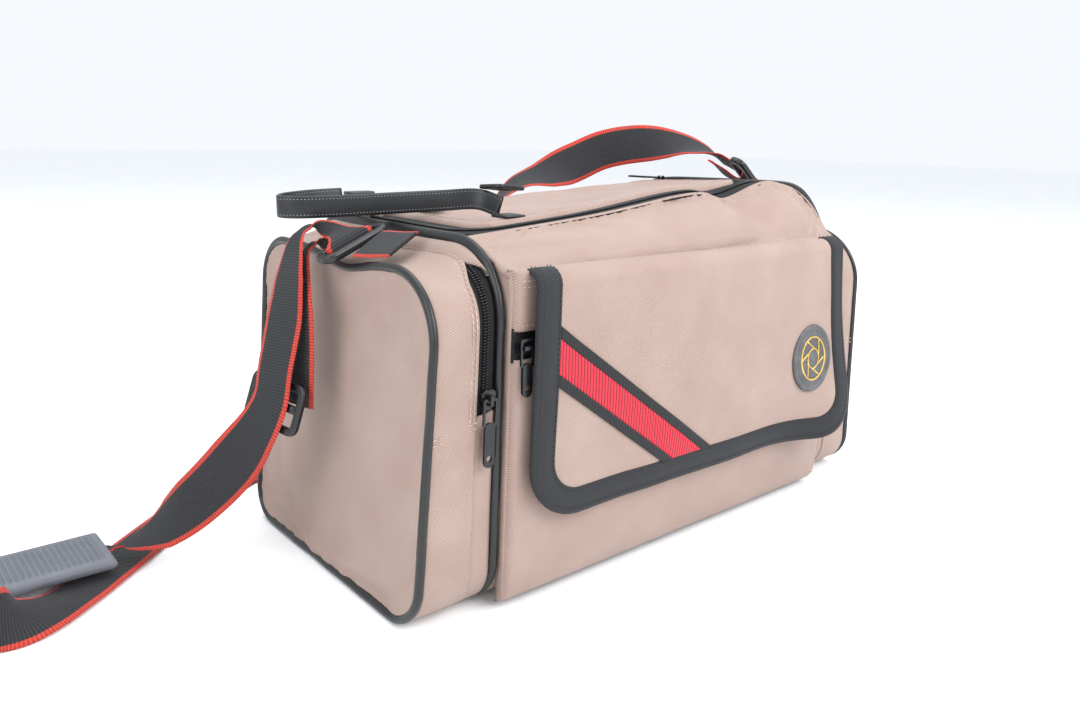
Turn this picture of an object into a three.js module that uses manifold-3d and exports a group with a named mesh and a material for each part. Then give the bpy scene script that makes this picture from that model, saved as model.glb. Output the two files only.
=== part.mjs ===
// A soft twill camera bag: padded main body with a zipped lid, two zipped end pockets,
// a front pocket under a flap, a leather hand strap and a webbing shoulder strap.
// Millimetres, +X along the bag to the right seen from the front, -Y front, +Z up, base at z = 0.
import * as THREE from "three";
import { mergeVertices } from "three/addons/utils/BufferGeometryUtils.js";
import Module from "manifold-3d";

const wasm = await Module();
wasm.setup();

// ---------------------------------------------------------------- driving dimensions
const bagLength = 387; // over both end pockets, at the base
const mainLength = 291; // between the two main seams, at the base
const bagDepth = 186;
const bagHeight = 190; // at the piping of the left main seam
const mainLean = 5; // how far each main seam leans inwards at the top
const endLean = 15; // how far each end panel leans inwards at the top
const pocketDrop = 12; // the end panels are this much lower than the main seams
const pocketValley = 8; // how far each end pocket's top sags between its two seams
const strapDent = 6; // how far the shoulder strap presses the left end panel's top edge down
const strapDentWidth = 28;
const frontTopRadius = 38;
const frontBaseRadius = 26;
const backBaseRadius = 20;
const backTopRadius = 26;
const crownMiddle = 8.5; // the stuffed top rises by this at the middle of the bag
const crownSlope = 0.062; // and by this much more for each mm to the right
const crownReach = 60; // the crown dies away over this height

const wall = 4; // padded wall
const cloth = 2; // unpadded twill, lined
const gap = 0.3; // between pieces that touch
const pipingRadius = 2.5;
const webbingWidth = 30;
const webbingThick = 1.5;

const endPocketZipStart = 80; // each end pocket's zip ends this far below the bag's top
const endPocketZipWidth = 12;
const coilWidth = 3.2;
const coilHeight = 1.4;
const tapeThick = 1;

const hingeInset = 33; // from the back to the line where the lid turns
const lidInset = 57; // from the front to the lid's front edge
const lidEndInset = 27.5; // from each main seam to the lid's edge
const lidGap = 5;
const lidCorner = 15;
const mainZipWidth = 10; // each side's tape, from its fabric edge to the coil
const mainZipCorner = 22;

const frontPocketDepth = 8;
const frontPocketBottom = 6;
const frontPocketDrop = 11.5; // from the bag's top to the pocket's top seam
const frontHemHeight = 29.5; // the hemmed strip over the front pocket's zip
const frontZipHeight = 14;
const flapThick = 2;
const flapEndInset = 11.5; // from each main seam to the flap's edge
const flapDrop = 2.5; // the flap is sewn on this far below the pocket's top seam
const flapBottom = 50;
const flapStandOff = 6.1; // lets the zip's slider pass behind the flap
const bindingWidth = 14;
const flapCorner = 32;
const stripeHalf = 9.2; // half the red band's height, measured upright
const stripeEdge = 5.6;
const stripeThick = 0.8;
const stripeSlope = -0.71;
const stripeMiddle = 50.6; // height of the band's middle line at the middle of the bag
const badgeWidth = 36;
const badgeHeight = 44;
const badgeThick = 2;
const badgeCentre = [98, 104];

const handStrapWidth = 12;
const handStrapThick = 2.4;
const ringLength = 42;
const ringWidth = 16;
const ringBar = 5;
const ringThick = 4.4;
const padLength = 110;
const padWidth = 42;
const padThick = 6.4;
const padSleeve = 3;
const gatherLimit = 0.3; // share of a step that the webbing's edge may lose in a turn
const boardThick = 3;
const dividerThick = 6;
const dividerDrop = 40; // from the bag's top to the dividers' top
const dividerOffset = 55;

const twill = 0xb8a096;
const black = 0x1b1c1e;
const red = 0xc4202e;
const metalBlack = 0x222427;
const grey = 0x6d7076;
const gilt = 0xb9914a;
const boardBlack = 0x2a2a2c;
const dividerGrey = 0x3a3b3f;

// ---------------------------------------------------------------- helpers
const bag = new THREE.Group();
const mainSeam = mainLength / 2;
const endSeam = bagLength / 2 - pipingRadius;
const half = bagDepth / 2;
const hingeY = half - hingeInset;
const lidFrontY = -half + lidInset;
const lidHalf = mainSeam - lidEndInset;
const pocketFaceY = -half - frontPocketDepth;
const stripTop = bagHeight - frontPocketDrop;
const zipHigh = stripTop - frontHemHeight;
const zipLow = zipHigh - frontZipHeight;
const flapTop = stripTop - flapDrop;
const flapHalf = mainSeam - flapEndInset;

function add(name, geometry, colour, roughness = 0.8, metalness = 0) {
  const material = new THREE.MeshStandardMaterial({ color: colour, roughness, metalness });
  const mesh = new THREE.Mesh(geometry, material);
  mesh.name = name;
  bag.add(mesh);
  return mesh;
}

// How the soft body settles: seams lean in, the end panels sit lower, and the stuffed top is crowned.
function settle(point) {
  const { x, y, z } = point;
  const beyond = Math.min(Math.max((Math.abs(x) - mainSeam) / (endSeam - mainSeam), 0), 1);
  const reach = Math.abs(x) - mainSeam;
  const mainX = mainSeam - (mainLean * z) / bagHeight;
  const endX = endSeam - (endLean * z) / bagHeight;
  const inside = (Math.abs(x) * mainX) / mainSeam;
  const leaned = reach > 0 ? mainX + (reach * (endX - mainX)) / (endSeam - mainSeam) : inside;
  const across = 1 - Math.min(Math.abs(y) / half, 1) ** 6;
  const lift = Math.min(Math.max((z - bagHeight + crownReach) / crownReach, 0), 1);
  const within = Math.min(Math.max(x, -mainSeam), mainSeam);
  const crown = (crownMiddle + crownSlope * within) * across * lift;
  const valley = pocketValley * 4 * beyond * (1 - beyond) * across * lift;
  const dent = x < 0 ? strapDent * beyond * lift * Math.exp(-(((y + 5) / strapDentWidth) ** 2)) : 0;
  const dropped = z * (1 - (beyond * pocketDrop) / bagHeight);
  return point.set(Math.sign(x) * leaned, y, dropped + crown * (1 - beyond) - valley - dent);
}

function settled(geometry) {
  const position = geometry.getAttribute("position");
  const point = new THREE.Vector3();
  for (let i = 0; i < position.count; i += 1) {
    settle(point.fromBufferAttribute(position, i));
    position.setXYZ(i, point.x, point.y, point.z);
  }
  return geometry;
}

const settledPoint = (x, y, z) => settle(new THREE.Vector3(x, y, z));

function volumeOf(vertices, faces) {
  let six = 0;
  for (const [a, b, c] of faces) {
    six += vertices[a].dot(new THREE.Vector3().crossVectors(vertices[b], vertices[c]));
  }
  return six;
}

function solid(vertices, faces) {
  const ordered = volumeOf(vertices, faces) > 0 ? faces : faces.map(([a, b, c]) => [a, c, b]);
  const geometry = new THREE.BufferGeometry().setFromPoints(vertices);
  geometry.setIndex(ordered.flat());
  geometry.computeVertexNormals();
  return geometry;
}

// A closed body through rings of points. closed joins the last ring to the first; otherwise the
// ends are capped on outline, the first ring's own flat shape.
function loft(rings, outline, closed = false) {
  const count = rings[0].length;
  const vertices = rings.flat();
  const faces = [];
  const rows = closed ? rings.length : rings.length - 1;
  for (let i = 0; i < rows; i += 1) {
    const next = (i + 1) % rings.length;
    for (let j = 0; j < count; j += 1) {
      const k = (j + 1) % count;
      const [a, b, c, d] = [i * count + j, i * count + k, next * count + k, next * count + j];
      // Both faces of a thin twisted strap are split along the same diagonal, so that they stay apart.
      if (j < count / 2) faces.push([a, b, c], [a, c, d]);
      else faces.push([a, b, d], [b, c, d]);
    }
  }
  if (!closed) {
    const turned = THREE.ShapeUtils.area(outline) < 0;
    const last = (rings.length - 1) * count;
    for (const [a, b, c] of THREE.ShapeUtils.triangulateShape(outline, [])) {
      const cap = turned ? [a, b, c] : [a, c, b];
      faces.push(cap, [cap[0] + last, cap[2] + last, cap[1] + last]);
    }
  }
  return solid(vertices, faces);
}

// Sweeps a section, given as [across, out] pairs, along frames of { origin, across, out }.
// sectionAt gives the section of each frame.
function sweep(frames, sectionAt, closed = false) {
  const sections = frames.map((frame, i) => (typeof sectionAt === "function" ? sectionAt(i) : sectionAt));
  const rings = frames.map(({ origin, across, out }, i) =>
    sections[i].map(([a, o]) => origin.clone().addScaledVector(across, a).addScaledVector(out, o)),
  );
  return loft(rings, sections[0].map(([a, o]) => new THREE.Vector2(a, o)), closed);
}

// A rectangular section, cut into steps across its width so that it can follow the crown.
function band(from, to, low, high, steps = 1) {
  const points = [];
  for (let i = 0; i <= steps; i += 1) points.push([from + ((to - from) * i) / steps, high]);
  for (let i = steps; i >= 0; i -= 1) points.push([from + ((to - from) * i) / steps, low]);
  return points;
}

// A piping tube's section at each station: proud of the walls, but drawn in under the base.
function pipingAt(across, proud) {
  return (i) => {
    const drawnIn = (proud + pipingRadius + gap) * Math.max(0, -stations[i].nz);
    return roundSection(across, proud - drawnIn, pipingRadius);
  };
}

function roundSection(across, out, radius, sides = 7) {
  const points = [];
  for (let i = 0; i < sides; i += 1) {
    const angle = (2 * Math.PI * i) / sides;
    points.push([across + radius * Math.cos(angle), out + radius * Math.sin(angle)]);
  }
  return points;
}

// The end outline of the bag as stations of { y, z, ny, nz }, from the top of the front pocket
// down the front, under the base, up the back and forward over the top.
function bagOutline() {
  const stations = [];
  const marks = {};
  const put = (y, z, ny, nz) => stations.push({ y, z, ny, nz });
  const arc = (cy, cz, radius, from, steps) => {
    for (let i = 0; i <= steps; i += 1) {
      const angle = from + (i * Math.PI) / 2 / steps;
      put(cy + radius * Math.cos(angle), cz + radius * Math.sin(angle), Math.cos(angle), Math.sin(angle));
    }
  };
  put(-half, bagHeight - endPocketZipStart, -1, 0);
  arc(-half + frontBaseRadius, frontBaseRadius, frontBaseRadius, Math.PI, 5);
  arc(half - backBaseRadius, backBaseRadius, backBaseRadius, 1.5 * Math.PI, 4);
  marks.backZip = stations.length;
  put(half, bagHeight - endPocketZipStart, 1, 0);
  arc(half - backTopRadius, bagHeight - backTopRadius, backTopRadius, 0, 5);
  marks.hinge = stations.length;
  put(hingeY + lidGap, bagHeight, 0, 1);
  const ridge = -half + frontTopRadius;
  const topSteps = 8;
  const back = hingeY + lidGap;
  for (let i = 1; i < topSteps; i += 1) put(back + ((ridge - back) * i) / topSteps, bagHeight, 0, 1);
  marks.ridge = stations.length;
  arc(ridge, bagHeight - frontTopRadius, frontTopRadius, Math.PI / 2, 8);
  return { stations, marks };
}

const { stations, marks } = bagOutline();

const acrossX = new THREE.Vector3(1, 0, 0);

function outlineFrames(from = 0, to = stations.length - 1) {
  return stations.slice(from, to + 1).map(({ y, z, ny, nz }) => ({
    origin: new THREE.Vector3(0, y, z),
    across: acrossX,
    out: new THREE.Vector3(0, ny, nz),
  }));
}

// Moves the first or last frame along the path, for the gap at a butted edge.
function trimmed(frames, atStart, atEnd) {
  const first = frames[0].origin;
  const last = frames[frames.length - 1].origin;
  const forwards = new THREE.Vector3().subVectors(frames[1].origin, first).normalize();
  const backwards = new THREE.Vector3().subVectors(frames[frames.length - 2].origin, last).normalize();
  first.addScaledVector(forwards, atStart);
  last.addScaledVector(backwards, atEnd);
  return frames;
}

// Two X values at either end of the bag, the smaller first.
function sideways(side, near, far) {
  return side < 0 ? [-far, -near] : [near, far];
}

// A plate with the settled end outline, between two X values, its edge drawn in by inset.
function endPlate(from, to, inset) {
  const rims = [from, to].map((x) =>
    stations.map(({ y, z, ny, nz }) => settledPoint(x, y - ny * inset, z - nz * inset)),
  );
  return loft(rims, rims[0].map(({ y, z }) => new THREE.Vector2(y, z)));
}

function toManifold(geometry) {
  const bare = geometry.clone();
  bare.deleteAttribute("normal");
  bare.deleteAttribute("uv");
  const merged = mergeVertices(bare, 1e-4);
  return new wasm.Manifold(
    new wasm.Mesh({
      numProp: 3,
      vertProperties: merged.getAttribute("position").array,
      triVerts: new Uint32Array(merged.index.array),
    }),
  );
}

function fromManifold(shape) {
  const mesh = shape.getMesh();
  const geometry = new THREE.BufferGeometry();
  geometry.setAttribute("position", new THREE.BufferAttribute(mesh.vertProperties, 3));
  geometry.setIndex(new THREE.BufferAttribute(mesh.triVerts, 1));
  geometry.computeVertexNormals();
  return geometry;
}

const cut = (body, ...tools) =>
  fromManifold(tools.reduce((rest, tool) => rest.subtract(toManifold(tool)), toManifold(body)));

function block(low, high) {
  const size = high.map((value, i) => value - low[i]);
  return new THREE.BoxGeometry(...size).translate(...low.map((value, i) => value + size[i] / 2));
}

// A flat outline of [x, z] points in front of the bag, between two Y values.
function upright(shape, nearY, farY) {
  const depth = farY - nearY;
  const plate = new THREE.ExtrudeGeometry(shape, { depth, bevelEnabled: false, curveSegments: 6 });
  return plate.rotateX(Math.PI / 2).translate(0, farY, 0);
}

function roundedShape(left, right, low, high, radius, topRadius = 0) {
  const shape = new THREE.Shape();
  shape.moveTo(left, high - topRadius);
  shape.lineTo(left, low + radius);
  shape.absarc(left + radius, low + radius, radius, Math.PI, 1.5 * Math.PI, false);
  shape.absarc(right - radius, low + radius, radius, 1.5 * Math.PI, 2 * Math.PI, false);
  shape.lineTo(right, high - topRadius);
  if (topRadius > 0) {
    shape.absarc(right - topRadius, high - topRadius, topRadius, 0, Math.PI / 2, false);
    shape.absarc(left + topRadius, high - topRadius, topRadius, Math.PI / 2, Math.PI, false);
  } else {
    shape.lineTo(left, high);
  }
  return shape;
}

// A flat rectangular frame with rounded corners, in its own X and Y, thickness in Z, centred.
function ringPlate(length, width, bar, thick) {
  const shape = roundedShape(-length / 2, length / 2, -width / 2, width / 2, bar, bar);
  const [holeX, holeY] = [length / 2 - bar, width / 2 - bar];
  const hole = roundedShape(-holeX, holeX, -holeY, holeY, 1, 1);
  shape.holes.push(new THREE.Path(hole.getPoints(3)));
  const plate = new THREE.ExtrudeGeometry(shape, { depth: thick, bevelEnabled: false, curveSegments: 3 });
  return plate.translate(0, 0, -thick / 2);
}

// Places a geometry so that its own X, Y and Z lie along the given directions.
function placed(geometry, origin, alongX, alongZ) {
  const x = new THREE.Vector3(...alongX).normalize();
  const z = new THREE.Vector3(...alongZ);
  z.addScaledVector(x, -z.dot(x)).normalize();
  const y = new THREE.Vector3().crossVectors(z, x);
  const matrix = new THREE.Matrix4().makeBasis(x, y, z).setPosition(...origin);
  return geometry.applyMatrix4(matrix);
}

// Frames of a flat strap along hand-placed stops of [x, y, z, and its width direction].
function strapFrames(stops, steps) {
  const through = (points) => new THREE.CatmullRomCurve3(points, false, "centripetal");
  const route = through(stops.map((stop) => new THREE.Vector3(...stop.slice(0, 3))));
  const widths = through(stops.map((stop) => new THREE.Vector3(...stop.slice(3))));
  const frames = [];
  for (let i = 0; i <= steps; i += 1) {
    const at = i / steps;
    const tangent = route.getTangent(at);
    const across = widths.getPoint(at);
    across.addScaledVector(tangent, -across.dot(tangent)).normalize();
    const out = new THREE.Vector3().crossVectors(tangent, across).normalize();
    frames.push({ origin: route.getPoint(at), across, out });
  }
  return frames;
}

// Half the webbing's width at each frame: it gathers where it turns too tightly to lie flat.
function gathered(frames, halfWidth) {
  const room = frames.map((frame, i) => {
    const next = frames[Math.min(i + 1, frames.length - 1)];
    const last = frames[Math.max(i - 1, 0)];
    const step = new THREE.Vector3().subVectors(next.origin, last.origin);
    const turn = new THREE.Vector3().subVectors(next.across, last.across);
    const length = step.length();
    return (gatherLimit * length) / Math.max(Math.abs(turn.dot(step)) / length, 1e-6);
  });
  const near = (values, i, reach) => values.slice(Math.max(i - reach, 0), i + reach + 1);
  const least = room.map((value, i) => Math.min(halfWidth, ...near(room, i, 3)));
  return least.map((value, i) => {
    const around = near(least, i, 2);
    return around.reduce((sum, each) => sum + each, 0) / around.length;
  });
}

// ---------------------------------------------------------------- main body
const shellEnd = mainSeam - pipingRadius - gap;
const crownSteps = 6;

// A padded divider that stands on the base board, its lower corners cut to the rounded base.
function divider(x) {
  const reach = half - wall - 3;
  const foot = reach - frontBaseRadius;
  const low = wall + boardThick + 2 * gap;
  const outline = [
    [-reach, bagHeight - dividerDrop],
    [-reach, low + frontBaseRadius],
    [-foot, low],
    [foot, low],
    [reach, low + frontBaseRadius],
    [reach, bagHeight - dividerDrop],
  ];
  const frames = [x - dividerThick / 2, x + dividerThick / 2].map((at) => ({
    origin: new THREE.Vector3(at, 0, 0),
    across: new THREE.Vector3(0, 1, 0),
    out: new THREE.Vector3(0, 0, 1),
  }));
  return sweep(frames, outline);
}

function mainBody() {
  const shell = outlineFrames(0, marks.hinge);
  shell.unshift({ ...shell[0], origin: new THREE.Vector3(0, -half, bagHeight - frontTopRadius) });
  add("main_shell", settled(sweep(shell, band(-shellEnd, shellEnd, -wall, 0, crownSteps))), twill);
  const front = trimmed(outlineFrames(marks.ridge), 0, gap);
  add("front_top_panel", settled(sweep(front, band(-shellEnd, shellEnd, -wall, 0, crownSteps))), twill);
  for (const [side, name] of [[-1, "left"], [1, "right"]]) {
    const [from, to] = sideways(side, shellEnd - cloth, shellEnd);
    add(`${name}_end_wall`, endPlate(from, to, wall + gap), twill);
    const tube = settled(sweep(outlineFrames(), pipingAt(side * mainSeam, 0), true));
    add(`main_piping_${name}`, tube, black, 0.35);
    add(`divider_${name}`, divider(side * dividerOffset), dividerGrey);
  }
  const boardX = shellEnd - cloth - 4;
  const boardY = half - frontBaseRadius - 2;
  const boardZ = wall + gap;
  add("base_board", block([-boardX, -boardY, boardZ], [boardX, boardY, boardZ + boardThick]), boardBlack);
}

// ---------------------------------------------------------------- main zip and lid
const zipOuter = shellEnd - gap - 1;
const coilLine = lidHalf + mainZipWidth;

// The round-cornered U of the main zip, as frames facing outwards, at a distance from the lid's edge.
function zipRun() {
  const frames = [];
  const corner = mainZipCorner;
  const start = hingeY - 4;
  const put = (x, y, nx, ny) =>
    frames.push({
      origin: new THREE.Vector3(x, y, bagHeight),
      across: new THREE.Vector3(nx, ny, 0),
      out: new THREE.Vector3(0, 0, 1),
    });
  const frontY = lidFrontY - mainZipWidth + 2;
  const steps = 8;
  for (let i = 0; i < steps; i += 1) put(-coilLine, start + ((frontY + corner - start) * i) / steps, -1, 0);
  for (const [cx, from] of [[-coilLine + corner, Math.PI], [coilLine - corner, 1.5 * Math.PI]]) {
    for (let i = 0; i <= 6; i += 1) {
      const angle = from + (i * Math.PI) / 12;
      const [nx, ny] = [Math.cos(angle), Math.sin(angle)];
      put(cx + corner * nx, frontY + corner + corner * ny, nx, ny);
    }
    if (cx < 0) for (let i = 1; i < 8; i += 1) put(cx + (-2 * cx * i) / 8, frontY, 0, -1);
  }
  const bend = frontY + corner;
  for (let i = 1; i <= steps; i += 1) put(coilLine, bend + ((start - bend) * i) / steps, 1, 0);
  return frames;
}

function mainZip() {
  const run = zipRun();
  const sideRoom = zipOuter - coilLine;
  const frontRoom = -lidFrontY + mainZipWidth - 2;
  const frontLimit = half - frontTopRadius - gap - frontRoom;
  const outerEdge = (i) => {
    const facing = Math.abs(run[i].across.y);
    return sideRoom + (frontLimit - sideRoom) * facing;
  };
  const [apart, coilEdge, tapeEdge] = [0.2, coilWidth / 2 + 0.2, coilWidth / 2 + 0.6];
  const [tapeLow, tapeHigh] = [-tapeThick - 1, -1];
  const bodyTape = sweep(run, (i) => band(tapeEdge, outerEdge(i), tapeLow, tapeHigh));
  add("body_zip_tape", settled(bodyTape), black);
  add("body_zip_coil", settled(sweep(run, band(apart, coilEdge, -1.6, 0))), metalBlack, 0.4);
  const lidRun = run.slice(1, -2);
  add("lid_zip_coil", settled(sweep(lidRun, band(-coilEdge, -apart, -1.6, 0))), metalBlack, 0.4);
  const lidTape = sweep(lidRun, band(-mainZipWidth + coilWidth, -tapeEdge, tapeLow, tapeHigh));
  add("lid_zip_tape", settled(lidTape), black);
  const ends = [run[run.length - 2], run[run.length - 4]];
  const [park, forward] = ends.map(({ origin }) => settle(origin.clone()));
  const along = new THREE.Vector3().subVectors(forward, park).normalize().toArray();
  const stand = [park.x, park.y + 1, park.z + 0.3];
  slider("main_slider", stand, along, [0, 0, 1]);
  pull("main_pull", stand, along, [0, 0, 1]);
}

function lid() {
  const frames = [];
  const depth = hingeY - lidGap - lidFrontY;
  const rows = [0, 2, 5, 9];
  for (let i = 0; i <= 5; i += 1) rows.push(lidCorner + ((depth - lidCorner) * i) / 5);
  const out = new THREE.Vector3(0, 0, 1);
  for (const row of rows) {
    frames.push({ origin: new THREE.Vector3(0, lidFrontY + row, bagHeight), across: acrossX, out });
  }
  const halfAt = (row) => {
    const short = Math.max(lidCorner - row, 0);
    return lidHalf - 0.4 - (lidCorner - Math.sqrt(lidCorner ** 2 - short ** 2));
  };
  const panel = sweep(frames, (i) => band(-halfAt(rows[i]), halfAt(rows[i]), -cloth - 1, 0.6, crownSteps));
  add("lid_panel", settled(panel), twill);
}

// ---------------------------------------------------------------- sliders and pulls
// A zip slider whose own X runs along its zip and whose Z stands off the cloth.
function slider(name, at, along, off) {
  const outline = new THREE.Shape();
  outline.moveTo(-5, -2.6);
  outline.lineTo(3.5, -4.2);
  outline.lineTo(5, -2.4);
  outline.lineTo(5, 2.4);
  outline.lineTo(3.5, 4.2);
  outline.lineTo(-5, 2.6);
  const plate = new THREE.ExtrudeGeometry(outline, { depth: 1.6, bevelEnabled: false });
  const bridge = block([-2.6, -1, 1.5], [2.6, 1, 4.4]);
  const eye = block([-1.9, -2, 1.75], [1.9, 2, 4]);
  const body = fromManifold(toManifold(plate).add(toManifold(bridge)).subtract(toManifold(eye)));
  add(name, placed(body, at, along, off), metalBlack, 0.35, 0.6);
}

// Its pull: a wire loop through the slider's bridge and a flat tab, hanging along its own -X.
function pull(name, at, along, off, length = 34) {
  const tab = roundedShape(-length, -11, -3, 3, 2.9, 2.9);
  const hole = new THREE.Path().absarc(-length + 4.6, 0, 1.7, 0, 2 * Math.PI, false);
  tab.holes.push(hole);
  const plate = new THREE.ExtrudeGeometry(tab, { depth: 1.4, bevelEnabled: false, curveSegments: 5 });
  const frame = roundedShape(-13, 1.1, -4.2, 4.2, 1.5, 1.5);
  frame.holes.push(new THREE.Path(roundedShape(-11.5, -0.2, -3, 3, 0.8, 0.8).getPoints(3)));
  const loop = new THREE.ExtrudeGeometry(frame, { depth: 1, bevelEnabled: false, curveSegments: 3 });
  loop.translate(0, 0, 0.2);
  const whole = fromManifold(toManifold(plate).add(toManifold(loop))).translate(0, 0, 2.2);
  add(name, placed(whole, at, along, off), metalBlack, 0.35, 0.6);
}

// ---------------------------------------------------------------- end pockets
function endPocket(side, name) {
  const at = (near, far) => sideways(side, near, far);
  const inner = mainSeam + pipingRadius + gap;
  const gussetEnd = endSeam - pipingRadius - gap;
  const slotEnd = inner + endPocketZipWidth;
  const full = settled(sweep(outlineFrames(), band(...at(inner, gussetEnd), -cloth, 0, 2), true));
  const overTop = outlineFrames(marks.backZip);
  overTop.push({ ...outlineFrames(0, 0)[0] });
  const slot = settled(sweep(overTop, band(...at(inner - 2, slotEnd), -8, 8, 1)));
  add(`${name}_pocket_gusset`, cut(full, slot), twill);
  const run = trimmed(overTop.map((frame) => ({ ...frame, origin: frame.origin.clone() })), 1, 1);
  const middle = inner + endPocketZipWidth / 2;
  const tape = band(...at(inner + gap, slotEnd - gap), -tapeThick - 0.6, -0.6, 4);
  add(`${name}_pocket_zip_tape`, settled(sweep(run, tape)), black);
  const coil = band(...at(middle - coilWidth / 2, middle + coilWidth / 2), -0.3, coilHeight - 0.3);
  add(`${name}_pocket_zip_coil`, settled(sweep(run, coil)), metalBlack, 0.4);
  const panelInset = 2 * pipingRadius + cloth;
  add(`${name}_pocket_panel`, endPlate(...at(endSeam - 1.2, endSeam + 0.8), panelInset), twill);
  const tube = settled(sweep(outlineFrames(), pipingAt(side * endSeam, -0.6), true));
  add(`${name}_pocket_piping`, tube, black, 0.35);
  const zipStart = bagHeight - endPocketZipStart;
  const low = settledPoint(side * middle, -half, zipStart + 8);
  const high = settledPoint(side * middle, -half, zipStart + 40);
  const along = new THREE.Vector3().subVectors(high, low).normalize().toArray();
  const stand = [low.x, low.y - coilHeight - 0.1, low.z];
  slider(`${name}_pocket_slider`, stand, along, [0, -1, 0]);
  pull(`${name}_pocket_pull`, stand, along, [0, -1, 0]);
}

// ---------------------------------------------------------------- front pocket and flap
const frontTapeY = pocketFaceY + 1;
const frontCoilY = frontTapeY - gap - coilHeight;
const frontZipZ = (zipLow + zipHigh) / 2;

function frontPocket() {
  const reach = shellEnd - gap;
  const back = -half - gap;
  const low = frontPocketBottom;
  const inner = pocketFaceY + cloth;
  const bin = block([-reach, pocketFaceY, low], [reach, back, zipLow]);
  const room = block([-reach + cloth, inner, low + cloth], [reach - cloth, back + 1, zipLow + 1]);
  add("front_pocket_panel", settled(cut(bin, room)), twill);
  const strip = block([-reach, pocketFaceY, zipHigh], [reach, back, stripTop]);
  const behind = block([-reach - 1, inner, zipHigh - 1], [reach + 1, back + 1, stripTop - cloth]);
  add("front_pocket_top_strip", settled(cut(strip, behind)), twill);
  const tape = block([-reach, frontTapeY, zipLow + gap], [reach, frontTapeY + tapeThick, zipHigh - gap]);
  add("front_zip_tape", settled(tape), black);
  const [coilLow, coilHigh] = [frontZipZ - coilWidth / 2, frontZipZ + coilWidth / 2];
  const coil = block([-reach + 1, frontCoilY, coilLow], [reach - 1, frontTapeY - gap, coilHigh]);
  add("front_zip_coil", settled(coil), metalBlack, 0.4);
  const stand = [-flapHalf, frontCoilY - 0.4, frontZipZ];
  slider("front_slider", stand, [1, 0, 0], [0, -1, 0]);
  pull("front_pull", [stand[0], stand[1], stand[2] + 3.4], [0, 0, 1], [0, -1, 0], 28);
}

const flapFar = pocketFaceY - flapStandOff;
const flapNear = flapFar - flapThick;

// A slanting stripe across the flap, between two heights from the band's middle line.
function stripe(low, high, within) {
  const heightAt = (x, off) => stripeMiddle + stripeSlope * x + off;
  const corners = [[-flapHalf, high], [-flapHalf, low], [flapHalf, low], [flapHalf, high]];
  const shape = new THREE.Shape(corners.map(([x, off]) => new THREE.Vector2(x, heightAt(x, off))));
  const strip = upright(shape, flapNear - gap - stripeThick, flapNear - gap);
  return fromManifold(toManifold(strip).intersect(toManifold(within)));
}

function oval(width, height) {
  return new THREE.Shape().absellipse(...badgeCentre, width / 2, height / 2, 0, 2 * Math.PI, false, 0);
}

function flap() {
  const inset = bindingWidth + gap;
  const round = flapCorner - inset / 2;
  const panel = roundedShape(-flapHalf + inset, flapHalf - inset, flapBottom + inset, flapTop, round);
  const outer = roundedShape(-flapHalf, flapHalf, flapBottom, flapTop, flapCorner);
  const inHalf = flapHalf - bindingWidth;
  const inner = roundedShape(-inHalf, inHalf, flapBottom + bindingWidth, flapTop + 2, round);
  add("flap_panel", upright(panel, flapNear, flapFar), twill);
  const rim = cut(upright(outer, flapNear - 0.5, flapFar), upright(inner, flapNear - 3, flapFar + 3));
  add("flap_binding", rim, black);
  const within = upright(panel, flapNear - 5, flapFar);
  const edge = stripeHalf + 0.5;
  add("flap_red_band", stripe(-stripeHalf, stripeHalf, within), red);
  add("flap_band_edging_upper", stripe(edge, edge + stripeEdge, within), black);
  add("flap_band_edging_lower", stripe(-edge - stripeEdge, -edge, within), black);
  const badgeFace = flapNear - gap - badgeThick;
  add("flap_badge", upright(oval(badgeWidth, badgeHeight), badgeFace, flapNear - gap), grey, 0.6);
  const emblem = oval(badgeWidth - 14, badgeHeight - 16);
  emblem.holes.push(new THREE.Path(oval(badgeWidth - 20, badgeHeight - 22).getPoints(12)));
  add("flap_emblem", upright(emblem, badgeFace - gap - 0.8, badgeFace - gap), gilt, 0.35, 0.9);
}

// ---------------------------------------------------------------- hand strap
const handX = -lidHalf + 33;
const handTop = settledPoint(handX, lidFrontY + 8, bagHeight).z;
const overLid = (x, y, z) => [handX + x, y, handTop + z];

function handStrap() {
  add("hand_strap_front_tab", block(overLid(-7, -34, 1.4), overLid(7, -20, 3.4)), black, 0.45);
  const stops = [
    [...overLid(1, -18, 6.8), 0.2, 0, 1],
    [...overLid(-3, -2, 10), 0.25, 0, 1],
    [...overLid(-20, 9, 9), 0.2, 0, 1],
    [...overLid(-50, 16, 8), 0.05, 0, 1],
    [...overLid(-80, 22, 7), 0, 0, 1],
    [...overLid(-101, 30, 6.5), 0, 0, 1],
    [...overLid(-106, 38, 6.5), 0, 0, 1],
    [...overLid(-101, 46, 7), 0, 0, 1],
    [...overLid(-83, 51, 8), 0, 0.1, 1],
    [...overLid(-61, 53, 8.5), 0, 0.2, 1],
  ];
  const reach = handStrapWidth / 2;
  const flat = band(-reach, reach, -handStrapThick / 2, handStrapThick / 2);
  add("hand_strap", sweep(strapFrames(stops, 30), flat), black, 0.45);
  const buckle = placed(ringPlate(24, 18, 3, 2.4), overLid(7, -12, 17), [-0.9, -0.2, 0.1], [0.1, 0.1, 1]);
  add("hand_strap_buckle", buckle, black, 0.4);
  add("clip_body", block(overLid(-58, 45, 3.5), overLid(-33, 61, 9.5)), metalBlack, 0.4, 0.5);
  add("clip_gate", block(overLid(-58, 49, 9.8), overLid(-41, 57, 12.3)), metalBlack, 0.4, 0.5);
  const clipRing = placed(ringPlate(20, 15, 2.5, 2.4), overLid(-23, 53, 7), [0.1, 1, 0], [0.2, 0, 1]);
  add("clip_ring", clipRing, metalBlack, 0.3, 0.7);
  add("clip_ring_tab", block(overLid(-12.5, 38, 2), overLid(3, 52, 4)), black);
}

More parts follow.
